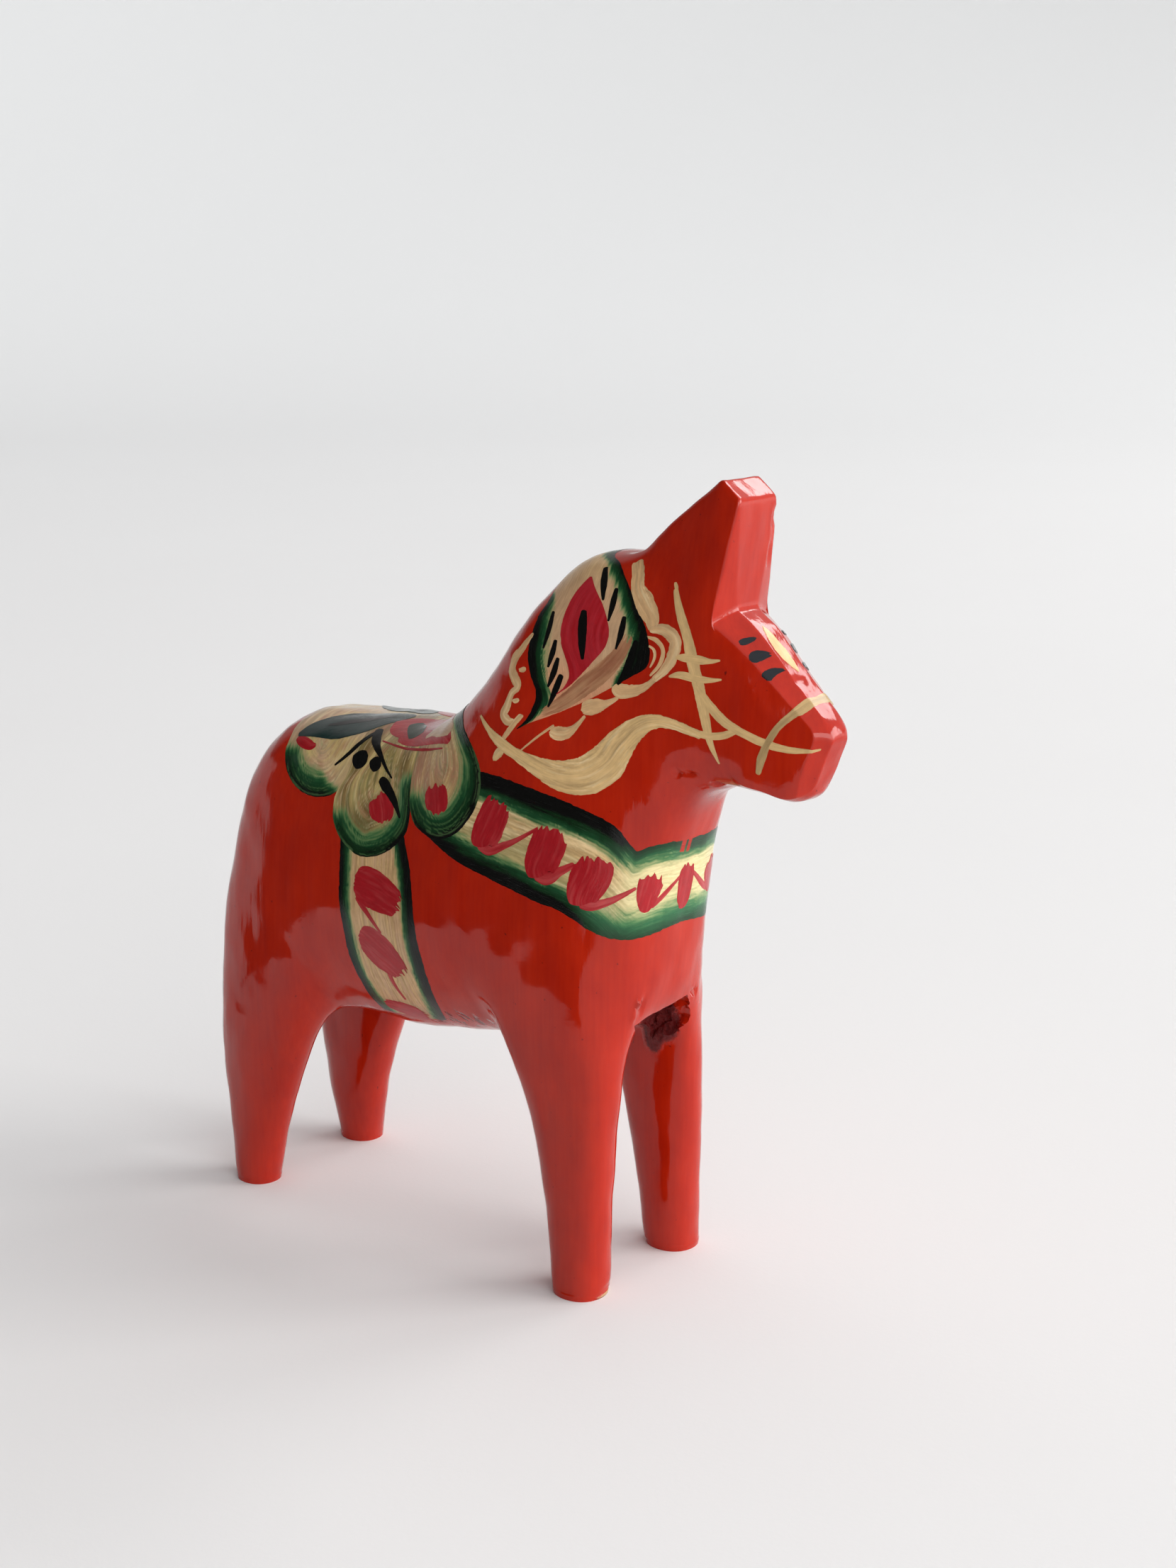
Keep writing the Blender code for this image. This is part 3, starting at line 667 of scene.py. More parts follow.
class Wood:
    """The carved surface, to lay paint on."""

    def __init__(self, mesh):
        mesh.calc_loop_triangles()
        corners = np.zeros(len(mesh.loop_triangles) * 3, int)
        mesh.loop_triangles.foreach_get("vertices", corners)
        self.corners = corners.reshape(-1, 3)
        self.places = vertices_of(mesh)
        self.normals = normals_of(mesh)
        self.tree = BVHTree.FromPolygons(self.places.tolist(), self.corners.tolist())

    def under(self, points):
        """The nearest spots on the wood to an array of points, and the smooth normals there."""
        found = [self.tree.find_nearest(point) for point in points.reshape(-1, 3).tolist()]
        spots = np.array([spot[:] for spot, _, _, _ in found])
        corners = self.corners[[index for _, _, index, _ in found]]
        a, b, c = (self.places[corners[:, k]] for k in range(3))
        whole = np.cross(b - a, c - a)
        area = np.maximum((whole * whole).sum(1), 1e-12)
        share_b = (np.cross(spots - a, c - a) * whole).sum(1) / area
        share_c = (np.cross(b - a, spots - a) * whole).sum(1) / area
        shares = np.stack([1 - share_b - share_c, share_b, share_c], 1)
        normals = (self.normals[corners] * shares[:, :, None]).sum(1)
        normals /= np.linalg.norm(normals, axis=1)[:, None]
        return spots.reshape(points.shape), normals.reshape(points.shape)


WOOD = Wood(BODY.data)


def speckle(x, y, seed):
    """Smooth random numbers from -1 to 1 over a plane, with a knot at each whole number."""
    knots = np.random.default_rng(seed).uniform(-1, 1, (KNOTS, KNOTS))
    i, j = np.floor(x).astype(int), np.floor(y).astype(int)
    u, w = soft(x - i), soft(y - j)
    i, j, after_i, after_j = i % KNOTS, j % KNOTS, (i + 1) % KNOTS, (j + 1) % KNOTS
    low = knots[i, j] * (1 - u) + knots[after_i, j] * u
    high = knots[i, after_j] * (1 - u) + knots[after_i, after_j] * u
    return low * (1 - w) + high * w


def wander(along, row, turns, seed):
    """How a ragged edge strays to either side, in broad and fine turns."""
    row = row + 0 * along
    return speckle(along / turns[0], row, seed) + 0.8 * speckle(along / turns[1], row, seed + 1)


def mix(a, b, share):
    """A colour or a field of colours part of the way from a to b."""
    share = np.clip(share, 0, 1)[..., None]
    return np.asarray(a) * (1 - share) + np.asarray(b) * share


def mirrored(rows):
    """The same places, and whatever follows them, on the other side of the horse."""
    return [(x, -y, *rest) for x, y, *rest in rows]


class Film:
    """A grid of points on the wood with a paint colour at each."""

    def __init__(self, grid, along, across, seed, layer):
        self.spots, self.normals = WOOD.under(grid)
        self.along, self.across, self.seed = along, across, seed
        self.streak = 0.6 * self.marks(7, 0.5, 0) + 0.4 * self.marks(3, 0.22, 1)
        self.height = np.full(along.shape, FILM_LIFT + layer * LAYER_LIFT)
        for edge in (self.height[0], self.height[-1], self.height[:, 0], self.height[:, -1]):
            edge[:] = -EDGE_SINK

    def marks(self, length, width, step):
        """The marks of bristles this long and this wide, from -1 to 1. Each step gives others."""
        return speckle(self.along / length, self.across / width, self.seed + step)

    def keep_up(self):
        """Leaves the last edge at the film's own height, where it meets another."""
        self.height[1:-1, -1] = self.height[1, 1]
        return self

    def coat(self, pigment, load=1.0, ground=RED):
        """Gives the film its paint: the pigment, how much of it there is, and the colour that it lies on."""
        shape = self.along.shape + (3,)
        self.pigment = np.broadcast_to(pigment, shape)
        self.load = np.broadcast_to(load, self.along.shape)
        self.ground = np.broadcast_to(ground, shape)
        return self


def stroke(rows, seed, layer=1, ragged=0.05, dry_start=0.0, dry_end=0.0):
    """A brush stroke along a smooth path of (x, y, z, width). Dry ends break up over that length."""
    line = smooth_path(rows)
    reach = lengths_along(line)
    _, normals = WOOD.under(line[:, :3])
    across = np.cross(normals, np.gradient(line[:, :3], axis=0))
    across /= np.maximum(np.linalg.norm(across, axis=1), 1e-9)[:, None]
    line = np.hstack([line, across])
    share = np.linspace(-1, 1, max(FEWEST_STOPS, round(line[:, 3].max() / FILM_STEP) + 1))
    bristle = share * line[:, 3].max() / 2
    curve = ROUND_ENDS * (1 - np.sqrt(1 - FULL_CURVE * share ** 2)) / 2

    def broken(row, step):
        return soft(0.5 + 0.9 * speckle(bristle / 0.4, row + 0 * bristle, seed + step))

    first = curve * line[0, 3] + dry_start * broken(0.5, 5)
    last = reach[-1] - curve * line[-1, 3] - dry_end * broken(7.5, 6)
    stops = first + (last - first) * np.linspace(0, 1, len(line))[:, None]
    rows = resample(line, reach, stops)
    half = rows[..., 3] / 2
    stray = ragged * wander(stops, np.where(share > 0, *STROKE_ROWS), STROKE_TURNS, seed + 7)
    offset = share * (half + stray * np.minimum(1, half))
    film = Film(rows[..., :3] + rows[..., 4:] * offset[..., None], stops, offset, seed, layer)
    film.from_start = stops - first
    return film


def panel(edge, other_edge, seed, layer=0, ragged=0.05, step=FILM_STEP):
    """An area of paint between two edges. The bristles run along the edges."""
    a, b = smooth_path(edge, step), smooth_path(other_edge, step)
    count = max(len(a), len(b))
    reach_a, reach_b = lengths_along(a), lengths_along(b)
    a = resample(a, reach_a, np.linspace(0, reach_a[-1], count))
    b = resample(b, reach_b, np.linspace(0, reach_b[-1], count))
    width = np.linalg.norm(b - a, axis=1)
    columns = max(FEWEST_STOPS, round(width.max() / step) + 1)
    along = np.repeat(lengths_along((a + b) / 2)[:, None], columns, 1)
    width = np.maximum(width, 0.01)[:, None]
    low, high = (ragged * wander(along, row, PANEL_TURNS, seed + 3) / width for row in PANEL_ROWS)
    high = 1 + high
    share = low + (high - low) * np.linspace(0, 1, columns)
    grid = a[:, None] + (b - a)[:, None] * share[..., None]
    film = Film(grid, along, share * width, seed, layer)
    film.from_edge = (share - low) * width
    film.from_other = (high - share) * width
    film.progress = np.repeat(np.linspace(0, 1, count)[:, None], columns, 1)
    return film


def edged(film, depth, black, green, inner, step=0, brushy=0.45, hue=GREEN):
    """Colours in from an edge: black, then green, then the inner colour, with the streaks of the brush."""
    past = depth - black + (brushy * film.streak + 0.3 * brushy * film.marks(1.3, 0.4, step))
    green = np.maximum(green, 0.05)
    colour = mix(BLACK, DARK_GREEN, soft(past / 0.5 + 0.5))
    colour = mix(colour, hue, soft(past / green))
    fine = past + brushy * film.marks(4, 0.16, step + 2)
    colour = mix(colour, LIGHT_GREEN, soft((fine - 0.55 * green) / (0.5 * green)))
    return mix(colour, inner, soft((fine - 0.75 * green) / (0.6 * green)))


def creamy(film, light, dull):
    """Cream that the bristles leave paler in places and browner in others."""
    colour = mix(CREAM, PALE_CREAM, light + 0.9 * film.streak)
    return mix(colour, DULL_CREAM, dull + 0.8 * film.marks(5, 0.17, 12) - 0.5 * film.streak)


def add_piece(name, films, slot, in_cad=True):
    """Makes one painted piece of the films. It rides on the horse and stands for the CAD node of its name."""
    fields = {"place": [], "face": [], "normal": [], "pigment": [], "ground": [], "bristle": []}
    first = 0
    for film in films:
        rows, columns = film.height.shape
        index = first + np.arange(rows * columns).reshape(rows, columns)
        quads = np.stack([index[:-1, :-1], index[:-1, 1:], index[1:, 1:], index[1:, :-1]], -1).reshape(-1, 4)
        du = film.spots[1:, :-1] - film.spots[:-1, :-1]
        dv = film.spots[:-1, 1:] - film.spots[:-1, :-1]
        inside_out = (np.cross(dv, du) * film.normals[:-1, :-1]).sum() < 0
        turn = np.full(film.along.shape, float(film.seed))
        rest = {
            "place": film.spots + film.normals * film.height[..., None],
            "face": quads[:, ::-1] if inside_out else quads,
            "normal": film.normals,
            "pigment": np.concatenate([film.pigment, film.load[..., None]], -1),
            "ground": np.concatenate([film.ground, np.ones(film.load.shape + (1,))], -1),
            "bristle": np.stack([film.along, film.across, turn], -1),
        }
        for field, values in rest.items():
            fields[field].append(values.reshape(-1, values.shape[-1]))
        first += rows * columns
    fields = {field: np.vstack(values) for field, values in fields.items()}
    mesh = bpy.data.meshes.new(name)
    mesh.from_pydata(fields["place"].tolist(), [], fields["face"].tolist())
    for field, kind, part in (
        ("pigment", "FLOAT_COLOR", "color"),
        ("ground", "FLOAT_COLOR", "color"),
        ("bristle", "FLOAT_VECTOR", "vector"),
    ):
        values = fields[field].astype(np.float32).ravel()
        mesh.attributes.new(field, kind, "POINT").data.foreach_set(part, values)
    into_frame(mesh)
    mesh.shade_smooth()
    mesh.normals_split_custom_set_from_vertices(fields["normal"].tolist())
    mesh.materials.append(PAINTS[slot])
    made = placed(name, mesh)
    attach(made, "root")
    if in_cad:
        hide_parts(name)


# ---------------------------------------------------------------- the painted harness

# An edge's points are (x, y, z) and a stroke's are (x, y, z, width). They are the left side's, near the wood.
# A film's from_edge, from_other and from_start say how far in each of its points is, and its progress says
# what share of the way along. A piece whose name has no side lies over the middle.
SIDES = (("left", list), ("right", mirrored))

# The first seed of each part's random draws. The saddle, girth, mane and bridle draw others on the left side.
BREAST_SEED = 11
MARK_SEED = 30
GIRTH_SEEDS = {"right": 110, "left": 130}
SADDLE_SEEDS = {"right": 210, "left": 260}
MANE_SEEDS = {"right": 410, "left": 470}
BRIDLE_SEEDS = {"right": 610, "left": 650}
NOSE_SEED = 690
FOREHEAD_SEED = 692

BREAST_TOP = [
    (12, 16.5, 84), (19, 16.2, 83.6), (28, 15.8, 82.6), (37, 14, 80.5), (43, 12, 78), (45.5, 10.5, 74.8),
]
BREAST_STEP = [(46.2, 9.8, 73.9), (47.6, 8.4, 74.6), (49.3, 5.5, 75), (49.8, 2, 74.7), (50, -1.5, 74.8)]
BREAST_BOTTOM = [
    (9, 18, 71.5), (16, 18, 68.6), (21, 18, 67.3), (26, 17.5, 66), (31.5, 16.5, 64.6), (35.5, 16, 63.7),
    (38, 15, 62.4), (40, 14, 61), (42, 12.5, 60), (44.3, 10.5, 59.5), (46, 7.5, 59.6), (46.8, 4, 60),
    (47, 0, 60.3),
]


def breast_band():
    """The band round the breast: black and green along both edges and cream between them."""
    top = BREAST_TOP + BREAST_STEP
    right_top, right_bottom = mirrored(top)[:-1], mirrored(BREAST_BOTTOM)
    left_top = [(50, 1.2, 74.8)] + top[:-1][::-1]
    left_bottom = BREAST_BOTTOM[:-1][::-1]
    band = panel(right_top + left_top, right_bottom + left_bottom, BREAST_SEED, 0, 0.09)
    y = band.spots[..., 1]
    side = np.abs(y)
    chest = soft((12.5 - side) / 2.5)
    stray = 0.4 * band.marks(6, math.inf, 1)
    cream = creamy(band, 0.3 + 0.4 * chest, 0.35 - 0.2 * chest)
    cream = mix(cream, LIGHT_GREEN, 0.3 * soft((band.from_edge - 6.5) / 4) * (1 - chest))
    cream = mix(cream, CHEST_CREAM, 0.5 * chest)
    below = soft((15.5 - side) / 3)
    black = (1.9 + stray) * (0.75 + 0.25 * soft((side - 14) / 3)) * (1 - below) - 0.8 * below
    hue = mix(GREEN, BRIGHT_GREEN, below)
    colour = edged(band, band.from_other, black, 2.2 + 3 * below, cream, 1, 0.6, hue)
    high = soft((side - 10.2) / 1.7)
    black = high * (2.6 + stray - 0.5 * soft((side - 15.5) / 1)) - 0.3 * (1 - high)
    green = high * 2.3 + (1 - high) * (3.6 + 0.5 * stray)
    hue = mix(GREEN, BRIGHT_GREEN, 0.6 * (1 - high))
    colour = edged(band, band.from_edge, black, green, colour, 2, 0.6, hue)
    rim = soft((2.3 - band.from_edge + 0.3 * band.streak) / 0.3)
    gap = soft((y + 3.1) / 0.12) * soft((-0.8 - y) / 0.12) - soft((y + 2.2) / 0.1) * soft((-1.5 - y) / 0.1)
    colour = mix(colour, RED, np.clip(gap, 0, 1) * rim)
    colour = mix(colour, DARK_GREEN, 0.6 * rim * soft((y + 0.9) / 0.3) * soft((4 - y) / 1))
    add_piece("breast_band", [band.coat(colour, 1.25)], "cream_paint")


def crimson(film, light=0.0):
    """Crimson that turns lighter where the brush carried less."""
    tone = mix(CRIMSON, PALE_CRIMSON, light + 0.5 * film.streak + 0.4 * film.marks(4, 0.2, 12))
    worn = 1.15 - 0.35 * soft((0.9 - film.from_start) / 0.9)
    return film.coat(tone, worn + 0.08 * film.streak, CREAM)


# Each breast stroke: a broad block, then a thin tail that leads to the next.
BREAST_MARKS = [
    (
        [
            (24.2, 16.5, 80, 5.4), (23.2, 17, 77.5, 5.7), (22, 17.5, 74.5, 5.8), (21.1, 17.6, 72.6, 4.7),
            (21.2, 17.6, 71.5, 1.82),
        ],
        [
            (20.2, 17.6, 72, 1.37), (22.5, 17.4, 71.4, 1.94), (25.5, 17, 72.7, 1.37), (28, 16.6, 74, 0.91),
            (31.5, 15.8, 76.2, 0.57),
        ],
    ),
    (
        [
            (34, 15.4, 77.2, 5.7), (33.6, 15.8, 74.6, 6.38), (32.6, 16.3, 71.8, 6.38),
            (32, 16.5, 69.8, 5.24), (32.4, 16.4, 68.5, 2.28),
        ],
        [(31.2, 16.7, 69, 1.6), (33.4, 16.2, 68.6, 2.39), (35.6, 15.6, 70, 1.6), (38, 14.8, 71.4, 1.03)],
    ),
    (
        [
            (40.7, 13.4, 73.2, 6.38), (40.6, 13.8, 70.6, 6.84), (39.6, 14.3, 68, 6.16),
            (38.9, 14.6, 66, 4.79), (39, 14.6, 64.8, 1.82),
        ],
        [(38.6, 14.7, 65.3, 1.6), (40.4, 13.9, 65, 1.94), (43, 12.2, 66, 1.37), (46, 9.6, 68, 0.57)],
    ),
    (
        [(47.7, 7.2, 70.4, 4.79), (47.3, 7.6, 68, 5.24), (46.8, 8, 65.5, 3.88), (46.4, 8.3, 63.6, 1.14)],
        [(46.9, 7.2, 64.4, 1.14), (47.5, 5, 65.8, 1.37), (48.1, 3, 67.4, 1.03), (48.5, 0.8, 69.2, 0.57)],
    ),
]
CENTRE_MARK = [(48.6, -0.4, 70.8, 3.2), (48.2, 0, 67.6, 4), (47.6, 0.2, 64.4, 3.4), (47.3, 0, 62.6, 1.2)]


def breast_marks():
    """Crimson strokes in a row along the breast band."""
    for side, turn in SIDES:
        for number, (block, tail) in enumerate(BREAST_MARKS, 1):
            seed = MARK_SEED + number * 2 + (side == "left")
            films = [
                crimson(stroke(turn(tail), seed + 40, 3), 0.3),
                crimson(stroke(turn(block), seed, 4, 0.07, dry_start=1.1)),
            ]
            if number == len(BREAST_MARKS) and side == "right":
                films.append(crimson(stroke(CENTRE_MARK, seed + 60, 4, 0.07, dry_start=0.9)))
            add_piece(f"breast_stroke_{number}_{side}", films, "crimson_paint")


GIRTH_BACK = [
    (-10.5, 17, 69), (-10.5, 17.5, 62), (-10.5, 17.5, 57), (-10, 17, 52.5), (-9.5, 16, 48),
    (-8.7, 14.5, 44), (-8, 12.6, 40.4), (-6.8, 10.5, 37.6),
]
GIRTH_FRONT = [
    (3.8, 17.5, 71.5), (6, 18, 65), (7, 18, 59.5), (7.7, 17.5, 54.5), (8.3, 16.5, 50), (8.5, 15, 45.5),
    (8.2, 12.6, 41.6), (7.4, 10.5, 38.6),
]
GIRTH_BLOCKS = [
    (
        [
            (-7.2, 17.6, 61.2, 5), (-4, 17.6, 60.9, 7), (-0.4, 17.8, 60.2, 6.8), (3, 18, 59.2, 5),
            (4.2, 18, 58.4, 2.4),
        ],
        [(-6.2, 17.6, 59, 1.6), (-5, 17.5, 57.6, 1.5), (-3, 17.5, 55.6, 1.1), (-0.6, 17.4, 53.4, 0.6)],
    ),
    (
        [
            (-6.4, 17, 52.2, 3), (-4, 16.8, 51.4, 6.2), (-0.8, 16.4, 49.8, 7), (2.2, 15.8, 47.8, 5.2),
            (3.4, 15.4, 46.6, 2.4),
        ],
        [(-0.6, 15.6, 47, 1.4), (-0.2, 14.6, 44.4, 1.1), (1, 13.1, 41.6, 0.6)],
    ),
]
GIRTH_LAST = [(-5.2, 12.4, 39.8, 2), (0, 12, 39.2, 4), (4.6, 11.6, 38.8, 2.6)]


def girth_band():
    """The bands that hang from the saddle down each flank, with their crimson blocks."""
    for side, turn in SIDES:
        seed = GIRTH_SEEDS[side]
        band = panel(turn(GIRTH_BACK), turn(GIRTH_FRONT), seed, 0, 0.08)
        low = soft((band.progress - 0.78) / 0.2)
        inner = mix(creamy(band, 0.3, 0.3), ROSY_TAN, 0.35 + 0.5 * band.streak + 0.3 * low)
        colour = edged(band, band.from_other, 1.7 - 0.9 * low, 1.3 + 0.9 * low, inner, 1, 0.35)
        colour = edged(band, band.from_edge, 1.0 - 0.6 * low, 1.7 + 1.2 * low, colour, 2, 0.35)
        fade = soft((1 - band.progress) / 0.03)
        add_piece(f"girth_band_{side}", [band.coat(colour, 0.7 + 0.45 * fade)], "cream_paint")
        for number, (block, tail) in enumerate(GIRTH_BLOCKS, 1):
            films = [
                crimson(stroke(turn(tail), seed + 2 * number, 3), 0.3),
                crimson(stroke(turn(block), seed + 2 * number + 1, 4, 0.08, dry_start=0.4, dry_end=1.3)),
            ]
            if number == len(GIRTH_BLOCKS):
                films.append(crimson(stroke(turn(GIRTH_LAST), seed + 9, 4, 0.08, dry_start=0.6, dry_end=1.2)))
            add_piece(f"girth_stroke_{number}_{side}", films, "crimson_paint")


REAR_RIM = [
    (-29, -0.3, 85.4), (-29, 4, 84.7), (-28.6, 8, 83.3), (-28, 11, 81.5), (-27.3, 13.2, 78.8),
    (-25, 14.6, 75.6), (-22, 15.5, 73.9), (-18, 16, 73.4), (-14, 16, 74.4), (-11.8, 15.7, 76.6),
    (-10.3, 14.2, 80), (-9.6, 9, 84.5), (-9, -0.3, 86),
]
REAR_HEART = [
    (-19, -0.3, 86), (-19, 4, 85.6), (-19, 7, 84.9), (-19, 9, 83.8), (-19, 11, 82.2), (-19, 12.6, 80.4),
    (-19, 13.2, 79.4), (-19, 13.4, 79), (-19, 13.2, 79.4), (-19, 12.6, 80.4), (-19, 11, 82.2),
    (-19, 7, 84.9), (-19, -0.3, 86),
]
MIDDLE_RIM = [
    (-11.5, -0.3, 86), (-11.3, 7, 85.3), (-11, 12, 82.2), (-11.3, 14.8, 78), (-13, 15.8, 75),
    (-13.2, 16.6, 72.3), (-12.1, 17, 69.5), (-10, 17.2, 67.2), (-6.5, 17.5, 65.6), (-2.5, 17.5, 66),
    (1.5, 17.6, 68), (4.4, 17.5, 71), (4.9, 17, 74.2), (4.2, 16, 77.5), (3.6, 13.8, 82), (3, 8, 86),
    (2.6, -0.3, 87),
]
MIDDLE_HEART_OUT = [
    (-4.2, -0.3, 86.3), (-4.2, 7, 85.6), (-4.2, 11, 83.4), (-4.2, 13.6, 80.6), (-4.2, 15, 78.2),
    (-4.2, 16, 75.5), (-4.1, 16.6, 73.4), (-4, 16.9, 72), (-4, 17, 71.6),
]
MIDDLE_HEART = MIDDLE_HEART_OUT + MIDDLE_HEART_OUT[-2::-1]
FRONT_RIM = [
    (2, -0.3, 87), (2.6, 7, 86.2), (3.2, 12.5, 83.4), (3.8, 15.6, 79.5), (4.6, 17, 75.2), (6.6, 17.6, 72.6),
    (10, 17.8, 71.4), (13.6, 18, 71.9), (16.6, 17.5, 73.6), (19.1, 17, 77), (20.1, 16.5, 80.5),
    (19.4, 16, 84), (16.8, 14.9, 87), (14, 13, 89), (11.4, 8, 90.4), (8.4, -0.3, 90),
]
FRONT_HEART = [
    (5.4, -0.3, 88.2), (7, 6, 88), (8.6, 10, 87), (10, 12.8, 85), (11.2, 14.8, 82.6), (11.9, 16, 80),
    (12.2, 16.5, 78.6), (12.3, 16.7, 77.8), (12.2, 16.5, 78.6), (11.9, 16, 80), (11.2, 14.8, 82.6),
    (10, 12.8, 85), (8.6, 10, 87), (7.8, 8, 87.6), (7, 6, 88), (5.4, -0.3, 88.2),
]


PETAL_STEP = 0.3


def petal(rim, heart, turn, seed, layer, tint, rim_width, fade_start, fade_end):
    """One lobe of the saddle cloth, brushed round from its green rim to its pale heart."""
    film = panel(turn(rim), turn(heart), seed, layer, 0.07, PETAL_STEP)
    shown = soft((film.progress - fade_start) / 0.1) * soft((1 - fade_end - film.progress) / 0.1)
    patch = film.marks(7, 3, 9)
    inner = mix(PETAL_CREAM, tint, 0.65 + 0.6 * patch + 0.5 * film.streak)
    inner = mix(inner, ROSY_TAN, 0.8 * np.clip(film.marks(2.2, 0.7, 16) - 0.1, 0, 1))
    inner = mix(inner, PALE_CREAM, np.clip(0.9 * film.marks(6, 0.17, 13) - 0.25, 0, 0.5))
    inner = mix(inner, LIGHT_GREEN, 0.35 * np.clip(film.streak + 0.1, 0, 1))
    black = 0.35 + 0.3 * shown + 0.5 * np.clip(film.marks(5, math.inf, 14), 0, 1)
    colour = edged(film, film.from_edge + 4.5 * (1 - shown), black, rim_width + 0.8 * patch, inner, 0, 0.7)
    thread = np.clip(0.8 * film.marks(9, 0.13, 15) - 0.2, 0, 0.35)
    return film.keep_up().coat(mix(colour, LIGHT_GREEN, thread * shown), 1.15)


def plain(rows, seed, layer, paint, load=1.15):
    """A stroke in one colour that darkens along the bristles."""
    film = stroke(rows, seed, layer)
    return film.coat(mix(paint, np.array(paint) * 0.55, 0.4 * film.streak + 0.2), load)


SADDLE_LEAF = [
    (-26.2, 11, 82.1, 0.6), (-22.6, 9.4, 83.6, 5), (-18, 7.6, 84.8, 9.4), (-13.6, 5.6, 85.6, 9.4),
    (-10, 3.4, 86, 6), (-7.4, 1, 86, 1.6),
]
LEAF_VEIN = [(-21, 9, 84.2, 0.5), (-17.5, 7.6, 85, 1.8), (-14, 5.6, 85.7, 2.2), (-10, 3, 86, 1)]
RED_WEDGE = [(-26, 11, 81.5, 0.8), (-24, 11.8, 81.4, 2.4), (-21.6, 12.2, 81, 2), (-20.4, 12, 81.4, 0.6)]
FLOWER = [
    (-7.2, 8.2, 85, 3.6), (-4.6, 6.6, 85.8, 8.8), (-0.6, 6.6, 86.2, 11.2), (3.6, 7.8, 86.6, 10),
    (7.8, 10.4, 86.8, 5.6), (11.4, 13.4, 86.4, 0.8),
]
FLOWER_SPOT = [(-4.4, 4.6, 86, 2.2), (-2.2, 6.8, 85.9, 3.8), (0.4, 9.6, 84.9, 3)]
FLOWER_PETAL = [(3, 10.6, 85.5, 0.6), (5.4, 9.8, 86.6, 3), (8, 10.4, 87.4, 4), (10.8, 12, 87.8, 1.8)]
FLOWER_LINE = [(-6.8, 10.6, 84.1, 0.4), (-1, 11.9, 84, 0.7), (4.6, 12.8, 84.3, 0.8), (10, 13.9, 85.4, 0.4)]
THICK_STEM = [
    (-9.2, 8, 84.9, 1.7), (-8.2, 10.4, 84.1, 2.1), (-6.8, 11.8, 83.1, 1.6), (-5, 12.9, 82, 1),
    (-2.6, 14.2, 80.3, 0.6), (-0.6, 15, 79, 0.3),
]
THIN_STEM = [(-9, 8.6, 84.8, 0.9), (-10.6, 11, 83.2, 1.2), (-12.4, 13, 81.2, 1), (-14.8, 14.4, 79.2, 0.4)]
DABS = [
    [(-10.2, 12.5, 82.2, 2.4), (-9.3, 13.3, 80.9, 3.7), (-8.2, 14, 79.4, 2.2)],
    [(-6.6, 13.2, 81.7, 1.6), (-5.5, 13.9, 80.8, 2.7), (-4.3, 14.4, 79.8, 1.7)],
    [
        (-3.5, 14.9, 78.8, 1.2), (-2.1, 15.3, 78, 2.3), (-0.2, 16, 76.6, 1.9), (1.4, 16.5, 75, 1.2),
        (2.8, 16.8, 73.2, 0.3),
    ],
]
SADDLE_DOTS = [
    [
        (-3.2, 15.9, 76.8, 3.69), (-2.4, 16.4, 75.2, 5.68), (-1.6, 16.8, 73.4, 5.68),
        (-1.2, 17.1, 71.6, 3.98),
    ],
    [(10, 16.1, 80.4, 3.69), (10.4, 16.4, 78.8, 5.68), (10.9, 16.8, 77, 5.68), (11.2, 17.2, 75, 3.98)],
]


def saddle():
    """The saddle cloth: three lobes a side, and the leaf, flower, stems and dots painted over them."""
    cloth, leaves, flowers, stems = [], [], [], []
    for side, turn in SIDES:
        seed = SADDLE_SEEDS[side]
        cloth.append(petal(REAR_RIM, REAR_HEART, turn, seed, 1, TAN, 3.4, 0.22, 0.36))
        cloth.append(petal(MIDDLE_RIM, MIDDLE_HEART, turn, seed + 2, 2, DUSKY_TAN, 3.1, 0.29, 0.2))
        front = petal(FRONT_RIM, FRONT_HEART, turn, seed + 4, 3, ROSY_TAN, 3.6, 0.26, 0.0)
        add_piece(f"front_petal_{side}", [front], "green_paint")
        leaves.append(plain(turn(SADDLE_LEAF), seed + 6, 5, LEAF))
        leaves.append(plain(turn(LEAF_VEIN), seed + 7, 6, BLACK))
        flowers.append(crimson(stroke(turn(FLOWER), seed + 8, 5, 0.06), 0.1))
        flowers.append(plain(turn(FLOWER_SPOT), seed + 9, 6, DARK_GREEN, 1.0))
        flowers.append(plain(turn(FLOWER_PETAL), seed + 10, 6, TAN, 0.95))
        flowers.append(plain(turn(FLOWER_LINE), seed + 11, 7, CRIMSON))
        flowers.append(crimson(stroke(turn(RED_WEDGE), seed + 12, 4, 0.06)))
        for number, rows in enumerate([THICK_STEM, THIN_STEM] + DABS):
            stems.append(plain(turn(rows), seed + 13 + number, 6, BLACK))
        for number, rows in enumerate(SADDLE_DOTS, 1):
            dot = crimson(stroke(turn(rows), seed + 20 + number, 5, 0.07, dry_start=0.9, dry_end=0.5))
            add_piece(f"saddle_dot_{number}_{side}", [dot], "crimson_paint")
    add_piece("saddle_petals", cloth, "green_paint")
    add_piece("saddle_leaf", leaves, "green_paint")
    add_piece("saddle_flower", flowers, "crimson_paint")
    add_piece("saddle_stems", stems, "black_paint", in_cad=False)


